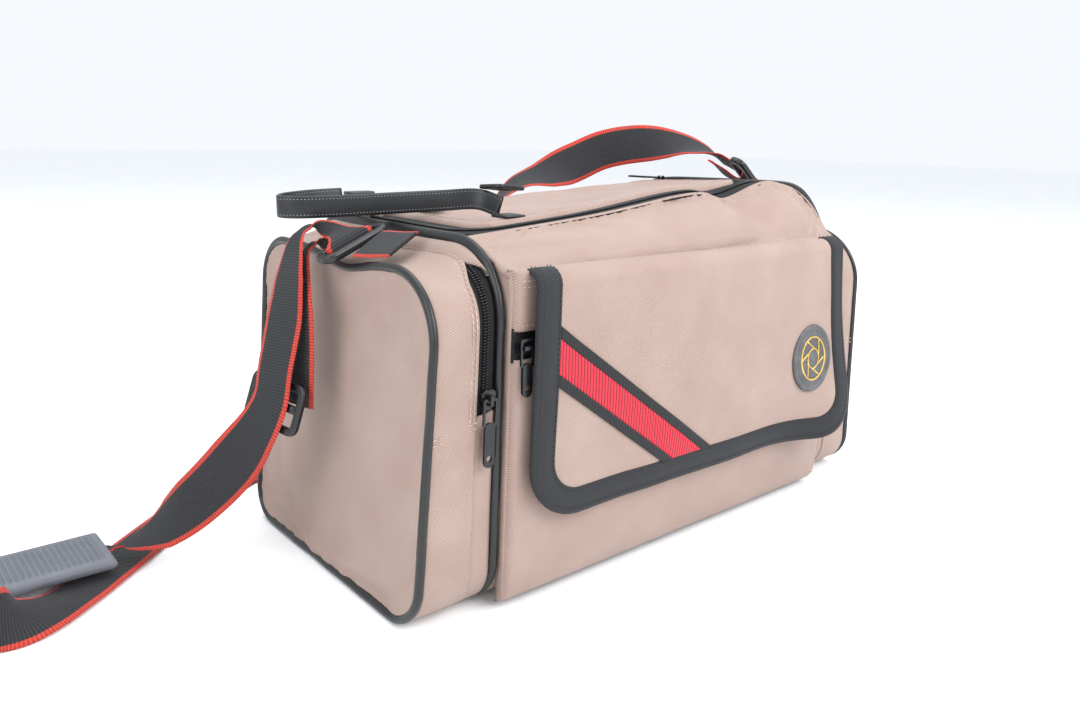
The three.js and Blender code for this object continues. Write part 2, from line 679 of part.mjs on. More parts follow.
// ---------------------------------------------------------------- shoulder strap
const leftTop = settledPoint(-endSeam, 0, bagHeight);
const rightTop = settledPoint(mainSeam, 0, bagHeight);
const from = ({ x, y, z }, stops) => stops.map(([a, b, c, ...across]) => [x + a, y + b, z + c, ...across]);
const [leftCentre] = from(leftTop, [[4.3, -5.7, 11.4]]);
const [rightCentre] = from(rightTop, [[20, -6.3, 4.5]]);
const leftRing = { centre: leftCentre, long: [-0.92, -0.1, -0.37], normal: [-0.37, 0, 0.93] };
const rightRing = { centre: rightCentre, long: [0.77, -0.04, -0.64], normal: [0.61, -0.26, 0.75] };
const leftFoot = new THREE.Vector3(-bagLength / 2, 0, 0);
const backFoot = new THREE.Vector3(0, half, 0);
const backTop = new THREE.Vector3(0, half, rightTop.z);

// Stops of the webbing where it turns about a ring's back bar, from below the bar to above it.
function turnAbout({ centre, long, normal }) {
  const across = new THREE.Vector3(...long).normalize();
  const up = new THREE.Vector3(...normal);
  up.addScaledVector(across, -up.dot(across)).normalize();
  const back = new THREE.Vector3().crossVectors(up, across);
  if (back.y < 0) back.negate();
  const bar = new THREE.Vector3(...centre).addScaledVector(back, (ringWidth - ringBar) / 2);
  const radius = Math.hypot(ringBar, ringThick) / 2 + webbingThick / 2 + gap;
  const stops = [];
  for (let angle = -90; angle <= 90; angle += 45) {
    const turn = THREE.MathUtils.degToRad(angle);
    const point = bar.clone().addScaledVector(back, -radius * Math.cos(turn));
    point.addScaledVector(up, radius * Math.sin(turn));
    stops.push([...point.toArray(), ...across.toArray()]);
  }
  return stops;
}

// The webbing's route: from the tri-glide up to the left ring and back down, out over the table
// through the pad, round behind the bag, up its back and forward to the right ring.
const strapStops = [
  ...from(leftTop, [
    [-26.3, 7.5, -74.2, -0.25, 0.96, 0.1],
    [-22.5, 8, -44.2, -0.12, 1, 0],
    [-17.5, 13, -14.2, 0, 1, 0],
    [-11.5, 18.5, 2.8, -0.1, 1, 0],
    [-5, 19.5, 8.8, -0.4, 0.9, -0.1],
    [2.5, 10, 8.2, -0.85, 0.3, -0.35],
  ]),
  ...turnAbout(leftRing),
  ...from(leftTop, [
    [0.5, 8, 16.6, -0.75, 0.55, -0.3],
    [-7, 18, 18.4, -0.4, 0.9, -0.1],
    [-14.5, 18.5, 13.3, -0.1, 1, 0],
    [-19.5, 17.5, -0.2, 0, 1, 0],
    [-27, 14, -30.2, -0.19, 0.98, 0],
    [-34.5, 11, -54.2, -0.22, 0.97, 0],
    [-39, 9.5, -71.2, -0.25, 0.96, 0.1],
  ]),
  ...from(leftFoot, [
    [-30, 13.5, 83, -0.38, 0.9, 0.15],
    [-40.5, 26, 62, -0.4, 0.6, 0.7],
    [-54.5, 42, 41, -0.1, 0.5, 0.85],
    [-68.5, 58, 24, 0.1, 0.9, 0.4],
    [-81.5, 72, 13.2, 0.05, 1, 0.05],
    [-86.5, 76.9, 10.6, 0, 1, 0],
    [-91, 77, 10.5, 0, 1, 0],
    [-106.5, 77, 10.5, 0, 1, 0],
    [-147.5, 77, 10.5, 0, 1, 0],
    [-188.5, 77, 10.5, 0, 1, 0],
    [-205.5, 77, 10.5, 0, 1, 0],
    [-209, 77, 10.6, 0, 1, 0.02],
    [-215, 74.6, 12, 0, 0.95, 0.25],
    [-222.5, 68, 16, 0.2, 0.4, 0.85],
    [-227.5, 51, 17, 0.1, 0.1, 1],
    [-221.5, 30, 17, 0, 0, 1],
    [-202.5, 17, 17, 0, 0, 1],
    [-176.5, 16, 17, 0, 0.05, 1],
    [-154.5, 23, 15, -0.1, 0.2, 0.95],
    [-137.5, 33, 7.5, -0.4, 0.65, 0.32],
    [-118.5, 48, 2.8, -0.6, 0.75, 0.03],
    [-96.5, 67, 2.2, -0.62, 0.78, 0],
    [-68.5, 93, 2, -0.65, 0.75, 0],
  ]),
  ...from(backFoot, [
    [-225, 31, 2, -0.62, 0.78, 0],
    [-180, 61, 2, -0.4, 0.9, 0],
    [-128, 75, 2.4, -0.05, 1, 0],
    [-88, 68, 5.5, 0.3, 0.93, 0.05],
    [-58, 50, 20, 0.55, 0.8, 0.1],
    [-40, 34, 52, 0.8, 0.55, 0.05],
    [-27, 23, 98, 0.92, 0.38, 0],
    [-14, 16, 146, 0.92, 0.38, 0],
  ]),
  ...from(backTop, [
    [2, 12, -24.5, 0.7, 0.7, 0],
    [24, 9, -4.5, 0.2, 0.95, 0.1],
    [52, 7, 2.5, -0.1, 0.8, 0.5],
    [80, 6, 11.5, -0.15, 0.3, 0.95],
    [108, 2, 21.5, -0.1, 0.15, 1],
  ]),
  ...from(rightTop, [
    [-9.5, 80, 26.5, 0.1, 0.25, 0.95],
    [5.5, 56, 26.5, 0.6, 0.3, 0.6],
    [12.5, 32, 22.5, 0.9, 0.2, 0.1],
    [18, 16, 16.5, 0.85, 0, -0.5],
    [22, 6, 11.1, 0.77, -0.04, -0.64],
  ]),
  ...turnAbout(rightRing).reverse(),
  ...from(rightTop, [
    [16.3, 9.5, 6, 0.77, 0, -0.6],
    [11, 22, 15, 0.85, 0.1, -0.3],
  ]),
];

const flatWebbing = (halfWidth) => band(-halfWidth, halfWidth, -webbingThick / 2, webbingThick / 2);

function shoulderStrap() {
  const run = strapFrames(strapStops, 200);
  const reach = gathered(run, webbingWidth / 2);
  add("shoulder_strap", sweep(run, (i) => flatWebbing(reach[i])), black);
  const [padCentre] = from(leftFoot, [[-147.5, 77, 10.5]]);
  const [reachX, reachY, reachZ] = [padLength / 2, padWidth / 2, padThick / 2];
  const pad = block([-reachX, -reachY, -reachZ], [reachX, reachY, reachZ]);
  const sleeveY = webbingWidth / 2 + padSleeve / 2;
  const sleeve = block([-padLength, -sleeveY, -padSleeve / 2], [padLength, sleeveY, padSleeve / 2]);
  add("shoulder_pad", cut(pad, sleeve).translate(...padCentre), grey, 0.7);
  const rim = toManifold(ringPlate(42, 28, 4.5, 3.2));
  const glide = fromManifold(rim.add(toManifold(block([-17, -2.2, -1.6], [17, 2.2, 1.6]))));
  const [glideCentre] = from(leftTop, [[-35.7, 10.3, -72.4]]);
  const glideAcross = [-0.25, 0.96, 0.1];
  add("strap_triglide", placed(glide, glideCentre, glideAcross, [-0.92, -0.25, 0.3]), black, 0.35);
  for (const [name, ringAt] of Object.entries({ left_ring: leftRing, right_ring: rightRing })) {
    const { centre, long, normal } = ringAt;
    const ring = ringPlate(ringLength, ringWidth, ringBar, ringThick);
    add(name, placed(ring, centre, long, normal), black, 0.35);
  }
}

// The short loops of webbing, sewn to the bag's top, that hold the two rings.
function anchorTabs() {
  const tabs = [
    ["left_anchor_tab", leftTop, [[15, -39, 13.8], [11, -28, 12.8], [7, -18, 12.4]], leftRing],
    ["right_anchor_tab", rightTop, [[16.5, -36, -7.5], [16.5, -28, -5.5], [16.5, -20.5, -2]], rightRing],
  ];
  for (const [name, corner, points, { long }] of tabs) {
    const stops = from(corner, points).map((point) => [...point, ...long]);
    add(name, sweep(strapFrames(stops, 6), flatWebbing(webbingWidth / 2 - 1)), black);
  }
}

// ---------------------------------------------------------------- the bag
mainBody();
mainZip();
lid();
endPocket(-1, "left");
endPocket(1, "right");
frontPocket();
flap();
handStrap();
shoulderStrap();
anchorTabs();

export default bag;
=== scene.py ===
"""Looks of a soft twill camera bag: body, end pockets, flapped front pocket, straps and fittings.

Sizes are in millimetres in the bag's pattern, before it settles, and become metres in each mesh.
"""

import logging
import math
from dataclasses import dataclass, field
from enum import Enum
from typing import Sequence

import bmesh
import bpy
import numpy as np
from mathutils import Matrix, Vector, noise


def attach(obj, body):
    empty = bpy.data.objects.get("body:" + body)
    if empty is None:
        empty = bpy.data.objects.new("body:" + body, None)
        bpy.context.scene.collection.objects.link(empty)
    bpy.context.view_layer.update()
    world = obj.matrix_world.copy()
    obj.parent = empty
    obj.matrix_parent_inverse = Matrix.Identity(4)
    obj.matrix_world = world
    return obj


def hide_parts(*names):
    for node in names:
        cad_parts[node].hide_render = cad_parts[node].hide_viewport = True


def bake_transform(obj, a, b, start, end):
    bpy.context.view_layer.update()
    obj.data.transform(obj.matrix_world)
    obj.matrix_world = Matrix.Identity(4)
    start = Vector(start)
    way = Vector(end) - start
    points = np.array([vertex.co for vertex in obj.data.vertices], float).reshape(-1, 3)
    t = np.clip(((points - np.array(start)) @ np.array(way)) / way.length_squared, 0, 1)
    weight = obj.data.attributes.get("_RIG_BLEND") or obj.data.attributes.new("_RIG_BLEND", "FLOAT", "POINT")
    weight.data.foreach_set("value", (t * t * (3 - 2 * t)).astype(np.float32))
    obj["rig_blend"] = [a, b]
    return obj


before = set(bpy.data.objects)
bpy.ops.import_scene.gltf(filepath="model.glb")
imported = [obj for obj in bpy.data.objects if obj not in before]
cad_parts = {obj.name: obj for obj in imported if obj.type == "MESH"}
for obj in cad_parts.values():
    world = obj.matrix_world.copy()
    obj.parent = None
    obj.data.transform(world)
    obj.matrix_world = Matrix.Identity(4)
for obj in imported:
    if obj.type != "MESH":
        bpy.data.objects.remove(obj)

LOG = logging.getLogger("camera_bag")
MM = 0.001
Piece = bpy.types.Object
Tree = bpy.types.NodeTree
Node = bpy.types.Node
Socket = bpy.types.NodeSocket
Material = bpy.types.Material
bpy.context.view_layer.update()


# ------------------------------------------------------------------ pattern of the bag
@dataclass
class BagPattern:
    """The bag's sewing pattern, and how the sewn bag settles."""

    main_seam: float = 145.5
    end_seam: float = 191.0
    half: float = 93.0
    height: float = 190.0
    main_lean: float = 5.0
    end_lean: float = 15.0
    pocket_drop: float = 12.0
    pocket_valley: float = 8.0
    strap_dent: float = 6.0
    strap_dent_width: float = 28.0
    front_top_radius: float = 38.0
    front_base_radius: float = 26.0
    back_base_radius: float = 20.0
    back_top_radius: float = 26.0
    crown_middle: float = 8.5
    crown_slope: float = 0.062
    crown_reach: float = 60.0
    piping_radius: float = 2.5
    table: np.ndarray = field(init=False, repr=False)

    def __post_init__(self) -> None:
        """Lays out the end outline as a dense table of distance, y, z and outward normal."""
        rows: list[tuple[float, float, float, float]] = []

        def arc(cy: float, cz: float, radius: float, start: float) -> None:
            """Adds a quarter round."""
            for angle in np.radians(np.linspace(start, start + 90.0, 31)):
                c, s = math.cos(angle), math.sin(angle)
                rows.append((cy + radius * c, cz + radius * s, c, s))

        arc(self.front_top_radius - self.half, self.height - self.front_top_radius, self.front_top_radius, 90)
        arc(self.front_base_radius - self.half, self.front_base_radius, self.front_base_radius, 180)
        arc(self.half - self.back_base_radius, self.back_base_radius, self.back_base_radius, 270)
        arc(self.half - self.back_top_radius, self.height - self.back_top_radius, self.back_top_radius, 0)
        rows.append(rows[0])
        points = np.array(rows)
        steps = np.hypot(*np.diff(points[:, :2], axis=0).T)
        distance = np.concatenate([[0.0], np.cumsum(steps)])
        self.table = np.column_stack([distance, points])

    @property
    def girth(self) -> float:
        """The length once round the end outline."""
        return float(self.table[-1, 0])

    def profile(self, distance: np.ndarray) -> tuple[np.ndarray, ...]:
        """Follows the end outline from the front ridge, down the front and round.

        Args:
            distance: Distances along the outline.

        Returns:
            y, z and the outward normal's y and z at each distance.
        """
        wrapped = np.mod(distance, self.girth)
        wrapped = np.where(np.isclose(distance, self.girth), self.girth, wrapped)
        y, z, ny, nz = (np.interp(wrapped, self.table[:, 0], self.table[:, k]) for k in (1, 2, 3, 4))
        length = np.hypot(ny, nz)
        return y, z, ny / length, nz / length

    def settle(self, points: np.ndarray) -> np.ndarray:
        """Leans the seams in, drops the end panels and crowns the stuffed top.

        Args:
            points: Pattern points, with x, y and z in the last axis.

        Returns:
            The settled points, in the same shape.
        """
        x, y, z = points[..., 0], points[..., 1], points[..., 2]
        size = np.abs(x)
        beyond = np.clip((size - self.main_seam) / (self.end_seam - self.main_seam), 0, 1)
        reach = size - self.main_seam
        main_x = self.main_seam - self.main_lean * z / self.height
        end_x = self.end_seam - self.end_lean * z / self.height
        outside = main_x + reach * (end_x - main_x) / (self.end_seam - self.main_seam)
        leaned = np.where(reach > 0, outside, size * main_x / self.main_seam)
        across = 1 - np.minimum(np.abs(y) / self.half, 1) ** 6
        lift = np.clip((z - self.height + self.crown_reach) / self.crown_reach, 0, 1)
        within = np.clip(x, -self.main_seam, self.main_seam)
        crown = (self.crown_middle + self.crown_slope * within) * across * lift
        valley = self.pocket_valley * 4 * beyond * (1 - beyond) * across * lift
        pressed = np.exp(-(((y + 5) / self.strap_dent_width) ** 2))
        dent = np.where(x < 0, self.strap_dent * beyond * lift * pressed, 0)
        dropped = z * (1 - beyond * self.pocket_drop / self.height)
        return np.stack([np.sign(x) * leaned, y, dropped + crown * (1 - beyond) - valley - dent], axis=-1)

    def point(self, x: float, y: float, z: float) -> np.ndarray:
        """One settled point."""
        return self.settle(np.array([x, y, z], float))


BAG = BagPattern()


def smooth_step(low: float, high: float, value: np.ndarray) -> np.ndarray:
    """A smooth rise from 0 at low to 1 at high."""
    t = np.clip((value - low) / (high - low), 0, 1)
    return t * t * (3 - 2 * t)


def wrinkle(points: np.ndarray, size: float, seed: float) -> np.ndarray:
    """Soft wrinkles of about one size, between -1 and 1, at each point in millimetres."""
    flat = points.reshape(-1, 3) / size
    offset = Vector((seed, 2 * seed, -seed))
    values = [noise.noise(Vector(p) + offset) for p in flat]
    return np.array(values).reshape(points.shape[:-1])


@dataclass(frozen=True)
class Fullness:
    """A soft swelling or hollow of the stuffed bag, as a bell about a centre."""

    centre: tuple[float, float, float]
    spread: tuple[float, float, float]
    push: tuple[float, float, float]

    def move(self, points: np.ndarray) -> np.ndarray:
        """How far each point is pushed."""
        near = np.exp(-np.sum(((points - self.centre) / self.spread) ** 2, axis=-1))
        return near[..., None] * np.array(self.push)


# ------------------------------------------------------------------ meshes
def grid_faces(rows: int, columns: int, closed: bool = False) -> list[tuple[int, ...]]:
    """Quads over a grid of points.

    Args:
        rows: Number of rows.
        columns: Number of points in each row.
        closed: Joins the last row to the first.

    Returns:
        The faces as vertex numbers.
    """
    faces = []
    for i in range(rows if closed else rows - 1):
        k = (i + 1) % rows
        for j in range(columns - 1):
            faces.append((i * columns + j, i * columns + j + 1, k * columns + j + 1, k * columns + j))
    return faces


def mesh_piece(
    name: str,
    points: np.ndarray,
    faces: Sequence[Sequence[int]],
    uv: np.ndarray | None = None,
    inner_from: int | None = None,
    smooth: bool = True,
) -> Piece:
    """Makes a piece from points in millimetres, with its faces turned outwards.

    Args:
        name: The piece's name.
        points: Points in millimetres.
        faces: Faces as point numbers.
        uv: Pattern coordinates of each point in millimetres, written in metres.
        inner_from: Faces from this number on take the second material.
        smooth: Shades the piece smooth.

    Returns:
        The new object.
    """
    mesh = bpy.data.meshes.new(name)
    mesh.from_pydata([tuple(p) for p in points.reshape(-1, 3) * MM], [], [tuple(f) for f in faces])
    if inner_from is not None:
        for polygon in mesh.polygons[inner_from:]:
            polygon.material_index = 1
    if uv is not None:
        layer = mesh.uv_layers.new(name="pattern")
        index = np.zeros(len(mesh.loops), np.int32)
        mesh.loops.foreach_get("vertex_index", index)
        layer.data.foreach_set("uv", (uv.reshape(-1, 2)[index] * MM).astype(np.float32).ravel())
    work = bmesh.new()
    work.from_mesh(mesh)
    bmesh.ops.recalc_face_normals(work, faces=work.faces)
    work.to_mesh(mesh)
    work.free()
    mesh.polygons.foreach_set("use_smooth", [smooth] * len(mesh.polygons))
    piece = bpy.data.objects.new(name, mesh)
    bpy.context.scene.collection.objects.link(piece)
    return piece


def grid_normals(grid: np.ndarray, closed: bool = False) -> np.ndarray:
    """Unit normals of a grid of points, from its rows and columns."""
    if closed:
        along = np.roll(grid, -1, axis=0) - np.roll(grid, 1, axis=0)
    else:
        along = np.gradient(grid, axis=0)
    across = np.gradient(grid, axis=1)
    normal = np.cross(along, across)
    return normal / np.maximum(np.linalg.norm(normal, axis=-1, keepdims=True), 1e-9)


def cloth_piece(
    name: str,
    grid: np.ndarray,
    uv: np.ndarray,
    thickness: float,
    closed: bool = False,
    flip: bool = False,
) -> Piece:
    """Makes a closed cloth of some thickness under an outer surface of grid points.

    Args:
        name: The piece's name.
        grid: Outer surface, rows by columns of points in millimetres.
        uv: Pattern coordinates of the grid points in millimetres.
        thickness: The cloth's thickness, laid inwards.
        closed: Joins the last row to the first.
        flip: Turns round which side is inwards.

    Returns:
        The new object, whose second material is the lining.
    """
    rows, columns = grid.shape[:2]
    normals = grid_normals(grid, closed) * (-1 if flip else 1)
    under = grid - normals * thickness
    outer = grid_faces(rows, columns, closed)
    count = rows * columns
    rim: list[tuple[int, ...]] = []

    def wall(path: Sequence[int]) -> None:
        """Adds the faces between both surfaces along an edge."""
        for a, b in zip(path, path[1:]):
            rim.append((a, a + count, b + count, b))

    spans = list(range(rows)) + ([0] if closed else [])
    wall([i * columns for i in spans])
    wall([i * columns + columns - 1 for i in spans][::-1])
    if not closed:
        wall(list(range(columns))[::-1])
        wall([(rows - 1) * columns + j for j in range(columns)])
    inner = [tuple(v + count for v in reversed(f)) for f in outer]
    points = np.concatenate([grid.reshape(-1, 3), under.reshape(-1, 3)])
    both = np.concatenate([uv.reshape(-1, 2)] * 2)
    return mesh_piece(name, points, outer + rim + inner, both, inner_from=len(outer) + len(rim))


def ring_faces(rings: int, sides: int, closed: bool) -> list[tuple[int, ...]]:
    """Faces of a tube of rings, with end caps unless it is closed."""
    faces: list[tuple[int, ...]] = []
    for i in range(rings if closed else rings - 1):
        k = (i + 1) % rings
        for j in range(sides):
            m = (j + 1) % sides
            faces.append((i * sides + j, i * sides + m, k * sides + m, k * sides + j))
    if not closed:
        faces.append(tuple(range(sides))[::-1])
        faces.append(tuple((rings - 1) * sides + j for j in range(sides)))
    return faces


@dataclass
class Route:
    """A line through space with a width direction and a direction off its flat side at each step."""

    origin: np.ndarray
    across: np.ndarray
    out: np.ndarray

    @classmethod
    def through(cls, stops: Sequence[Sequence[float]], steps: int) -> "Route":
        """Runs smoothly through stops of x, y, z and a width direction.

        Args:
            stops: Six numbers each.
            steps: Number of steps.

        Returns:
            The route.
        """
        table = np.array(stops, float)
        at = np.linspace(0, 1, steps + 1)
        origin = catmull(table[:, :3], at)
        ahead = catmull(table[:, :3], np.minimum(at + 1e-4, 1))
        behind = catmull(table[:, :3], np.maximum(at - 1e-4, 0))
        tangent = unit(ahead - behind)
        across = catmull(table[:, 3:], at)
        across = unit(across - tangent * np.sum(across * tangent, axis=1, keepdims=True))
        return cls(origin, across, unit(np.cross(tangent, across)))

    @property
    def length(self) -> np.ndarray:
        """Distance along the route at each step."""
        return np.concatenate([[0.0], np.cumsum(np.linalg.norm(np.diff(self.origin, axis=0), axis=1))])

    def at(self, side: np.ndarray | float, off: np.ndarray | float) -> np.ndarray:
        """The line at a distance to the side and off the flat side."""
        side = np.asarray(side, float).reshape(-1, 1)
        off = np.asarray(off, float).reshape(-1, 1)
        return self.origin + self.across * side + self.out * off


def unit(vectors: np.ndarray) -> np.ndarray:
    """Vectors made one long."""
    return vectors / np.maximum(np.linalg.norm(vectors, axis=-1, keepdims=True), 1e-9)


def catmull(points: np.ndarray, at: np.ndarray) -> np.ndarray:
    """A centripetal Catmull-Rom curve.

    Args:
        points: The points it passes through.
        at: Positions from 0 to 1, each span taking an equal share.

    Returns:
        A point for each position.
    """
    first = 2 * points[0] - points[1]
    last = 2 * points[-1] - points[-2]
    padded = np.vstack([first, points, last])
    place = np.clip(at, 0, 1) * (len(points) - 1)
    index = np.minimum(place.astype(int), len(points) - 2)
    weight = (place - index)[:, None]
    p0, p1, p2, p3 = (padded[index + k] for k in range(4))

    def spacing(a: np.ndarray, b: np.ndarray) -> np.ndarray:
        """The square root of the distance between points."""
        return np.sum((a - b) ** 2, axis=1, keepdims=True) ** 0.25

    d1 = spacing(p1, p2)
    d1 = np.where(d1 < 1e-4, 1.0, d1)
    d0, d2 = spacing(p0, p1), spacing(p2, p3)
    d0 = np.where(d0 < 1e-4, d1, d0)
    d2 = np.where(d2 < 1e-4, d1, d2)
    t1 = ((p1 - p0) / d0 - (p2 - p0) / (d0 + d1) + (p2 - p1) / d1) * d1
    t2 = ((p2 - p1) / d1 - (p3 - p1) / (d1 + d2) + (p3 - p2) / d2) * d1
    c2 = -3 * p1 + 3 * p2 - 2 * t1 - t2
    c3 = 2 * p1 - 2 * p2 + t1 + t2
    return p1 + t1 * weight + c2 * weight**2 + c3 * weight**3


def rounded_section(width: float, thick: float, corner: float, sides: int = 3) -> np.ndarray:
    """A closed rounded rectangle as side and off pairs, centred."""
    points = []
    for sx, sy, start in ((1, 1, 0), (-1, 1, 90), (-1, -1, 180), (1, -1, 270)):
        for i in range(sides + 1):
            angle = math.radians(start + 90 * i / sides)
            x = sx * (width / 2 - corner) + corner * math.cos(angle)
            points.append((x, sy * (thick / 2 - corner) + corner * math.sin(angle)))
    return np.array(points)


def swept_piece(name: str, route: Route, section: np.ndarray, closed: bool = False) -> Piece:
    """Sweeps a closed section of side and off pairs along a route, with pattern coordinates."""
    sides = len(section)
    rings = [route.origin + route.across * a + route.out * o for a, o in section]
    points = np.stack(rings, axis=1)
    uv = np.zeros(points.shape[:2] + (2,))
    uv[..., 0] = section[:, 0]
    uv[..., 1] = route.length[:, None]
    return mesh_piece(name, points, ring_faces(len(points), sides, closed), uv)


def frame_route(length: float, width: float, bar: float, corner: float) -> Route:
    """The closed middle line of a rectangular buckle or ring, in its own X and Y."""
    a, b = length / 2 - bar / 2, width / 2 - bar / 2
    corner = min(corner, a, b)
    points, outs = [], []
    for sx, sy, start in ((1, 1, 0), (-1, 1, 90), (-1, -1, 180), (1, -1, 270)):
        for i in range(7):
            angle = math.radians(start + 15 * i)
            c, s = math.cos(angle), math.sin(angle)
            points.append((sx * (a - corner) + corner * c, sy * (b - corner) + corner * s, 0))
            outs.append((c, s, 0))
    origin, out = np.array(points), np.array(outs)
    return Route(origin, np.tile([0.0, 0.0, 1.0], (len(origin), 1)), out)


def placement(centre: Sequence[float], along_x: Sequence[float], along_z: Sequence[float]) -> np.ndarray:
    """A 4 by 4 matrix that puts own X and Z along given directions, in millimetres."""
    x = unit(np.array(along_x, float))
    z = np.array(along_z, float)
    z = unit(z - x * z.dot(x))
    matrix = np.eye(4)
    matrix[:3, 0], matrix[:3, 1], matrix[:3, 2], matrix[:3, 3] = x, np.cross(z, x), z, centre
    return matrix


def moved(points: np.ndarray, matrix: np.ndarray) -> np.ndarray:
    """Points in millimetres taken through a placement."""
    return points @ matrix[:3, :3].T + matrix[:3, 3]


def ring_piece(name: str, size: tuple[float, float], bar: float, thick: float, place: np.ndarray) -> Piece:
    """A moulded rectangular ring with rounded edges, in its place."""
    route = frame_route(size[0], size[1], bar, bar * 0.8)
    turned = Route(moved(route.origin, place), route.across @ place[:3, :3].T, route.out @ place[:3, :3].T)
    section = rounded_section(thick, bar, min(thick, bar) * 0.32)
    return swept_piece(name, turned, section, closed=True)


def block_piece(name: str, low: Sequence[float], high: Sequence[float], edge: float) -> Piece:
    """A box with bevelled edges between two corners, in millimetres."""
    mesh = bpy.data.meshes.new(name)
    work = bmesh.new()
    bmesh.ops.create_cube(work, size=1.0)
    size = [h - l for l, h in zip(low, high)]
    middle = [(h + l) / 2 for l, h in zip(low, high)]
    for vertex in work.verts:
        vertex.co = Vector([m + c * s for m, c, s in zip(middle, vertex.co, size)]) * MM
    bmesh.ops.bevel(work, geom=work.edges[:], offset=edge * MM, segments=3, profile=0.6, affect="EDGES")
    bmesh.ops.recalc_face_normals(work, faces=work.faces)
    work.to_mesh(mesh)
    work.free()
    mesh.polygons.foreach_set("use_smooth", [True] * len(mesh.polygons))
    piece = bpy.data.objects.new(name, mesh)
    bpy.context.scene.collection.objects.link(piece)
    return piece


def join_pieces(name: str, pieces: Sequence[Piece]) -> Piece:
    """Joins pieces into one mesh, which keeps the first one's material slots."""
    first = pieces[0]
    with bpy.context.temp_override(active_object=first, selected_editable_objects=list(pieces)):
        bpy.ops.object.join()
    first.name = name
    first.data.name = name
    return first


# ------------------------------------------------------------------ cloth
def relax_cloth(grid: np.ndarray, pinned: np.ndarray, pressure: float, slack: float, cap: float) -> np.ndarray:
    """Lets a grid of cloth, pinned where it is sewn, billow and buckle.

    Args:
        grid: Rows by columns of points in millimetres.
        pinned: True where the cloth is sewn down.
        pressure: Push of the stuffing.
        slack: Extra cloth, as a share of its size.
        cap: The furthest that a point may move, in millimetres.

    Returns:
        The relaxed grid.
    """
    rows, columns = grid.shape[:2]
    piece = mesh_piece("cloth_work", grid, grid_faces(rows, columns))
    group = piece.vertex_groups.new(name="sewn")
    group.add([int(i) for i in np.flatnonzero(pinned.ravel())], 1.0, "REPLACE")
    modifier = piece.modifiers.new("relax", "CLOTH")
    settings = modifier.settings
    settings.quality = 6
    settings.mass = 0.4
    settings.tension_stiffness = 30
    settings.compression_stiffness = 30
    settings.shear_stiffness = 12
    settings.bending_stiffness = 2.5
    settings.vertex_group_mass = "sewn"
    settings.shrink_min = -slack
    settings.use_pressure = True
    settings.uniform_pressure_force = pressure
    settings.effector_weights.gravity = 0.15
    modifier.collision_settings.use_collision = False
    scene = bpy.context.scene
    for step in range(1, 17):
        scene.frame_set(step)
    graph = bpy.context.evaluated_depsgraph_get()
    result = piece.evaluated_get(graph).to_mesh()
    moved_to = np.zeros(len(result.vertices) * 3)
    result.vertices.foreach_get("co", moved_to)
    piece.evaluated_get(graph).to_mesh_clear()
    bpy.data.objects.remove(piece)
    scene.frame_set(1)
    shift = moved_to.reshape(grid.shape) / MM - grid
    size = np.linalg.norm(shift, axis=-1, keepdims=True)
    return grid + shift * np.minimum(1.0, cap / np.maximum(size, 1e-9))


# ------------------------------------------------------------------ finishes
def linear(code: str) -> tuple[float, float, float, float]:
    """Turns an sRGB hex colour such as #aabbcc into linear red, green, blue and 1."""
    values = [int(code[i : i + 2], 16) / 255 for i in (1, 3, 5)]
    return tuple(v / 12.92 if v <= 0.04045 else ((v + 0.055) / 1.055) ** 2.4 for v in values) + (1.0,)


def add_node(tree: Tree, kind: str, links: dict | None = None, **settings: object) -> Node:
    """Adds a node.

    Args:
        tree: The node tree.
        kind: The node's type name.
        links: Socket names or numbers, each with a value or the output that feeds it.
        settings: The node's own properties.

    Returns:
        The new node.
    """
    node = tree.nodes.new(kind)
    for key, value in settings.items():
        setattr(node, key, value)
    for key, value in (links or {}).items():
        if isinstance(value, Socket):
            tree.links.new(value, node.inputs[key])
        else:
            node.inputs[key].default_value = value
    return node


class Space(Enum):
    """Which coordinates a pattern follows."""

    OBJECT = "Object"
    PATTERN = "UV"


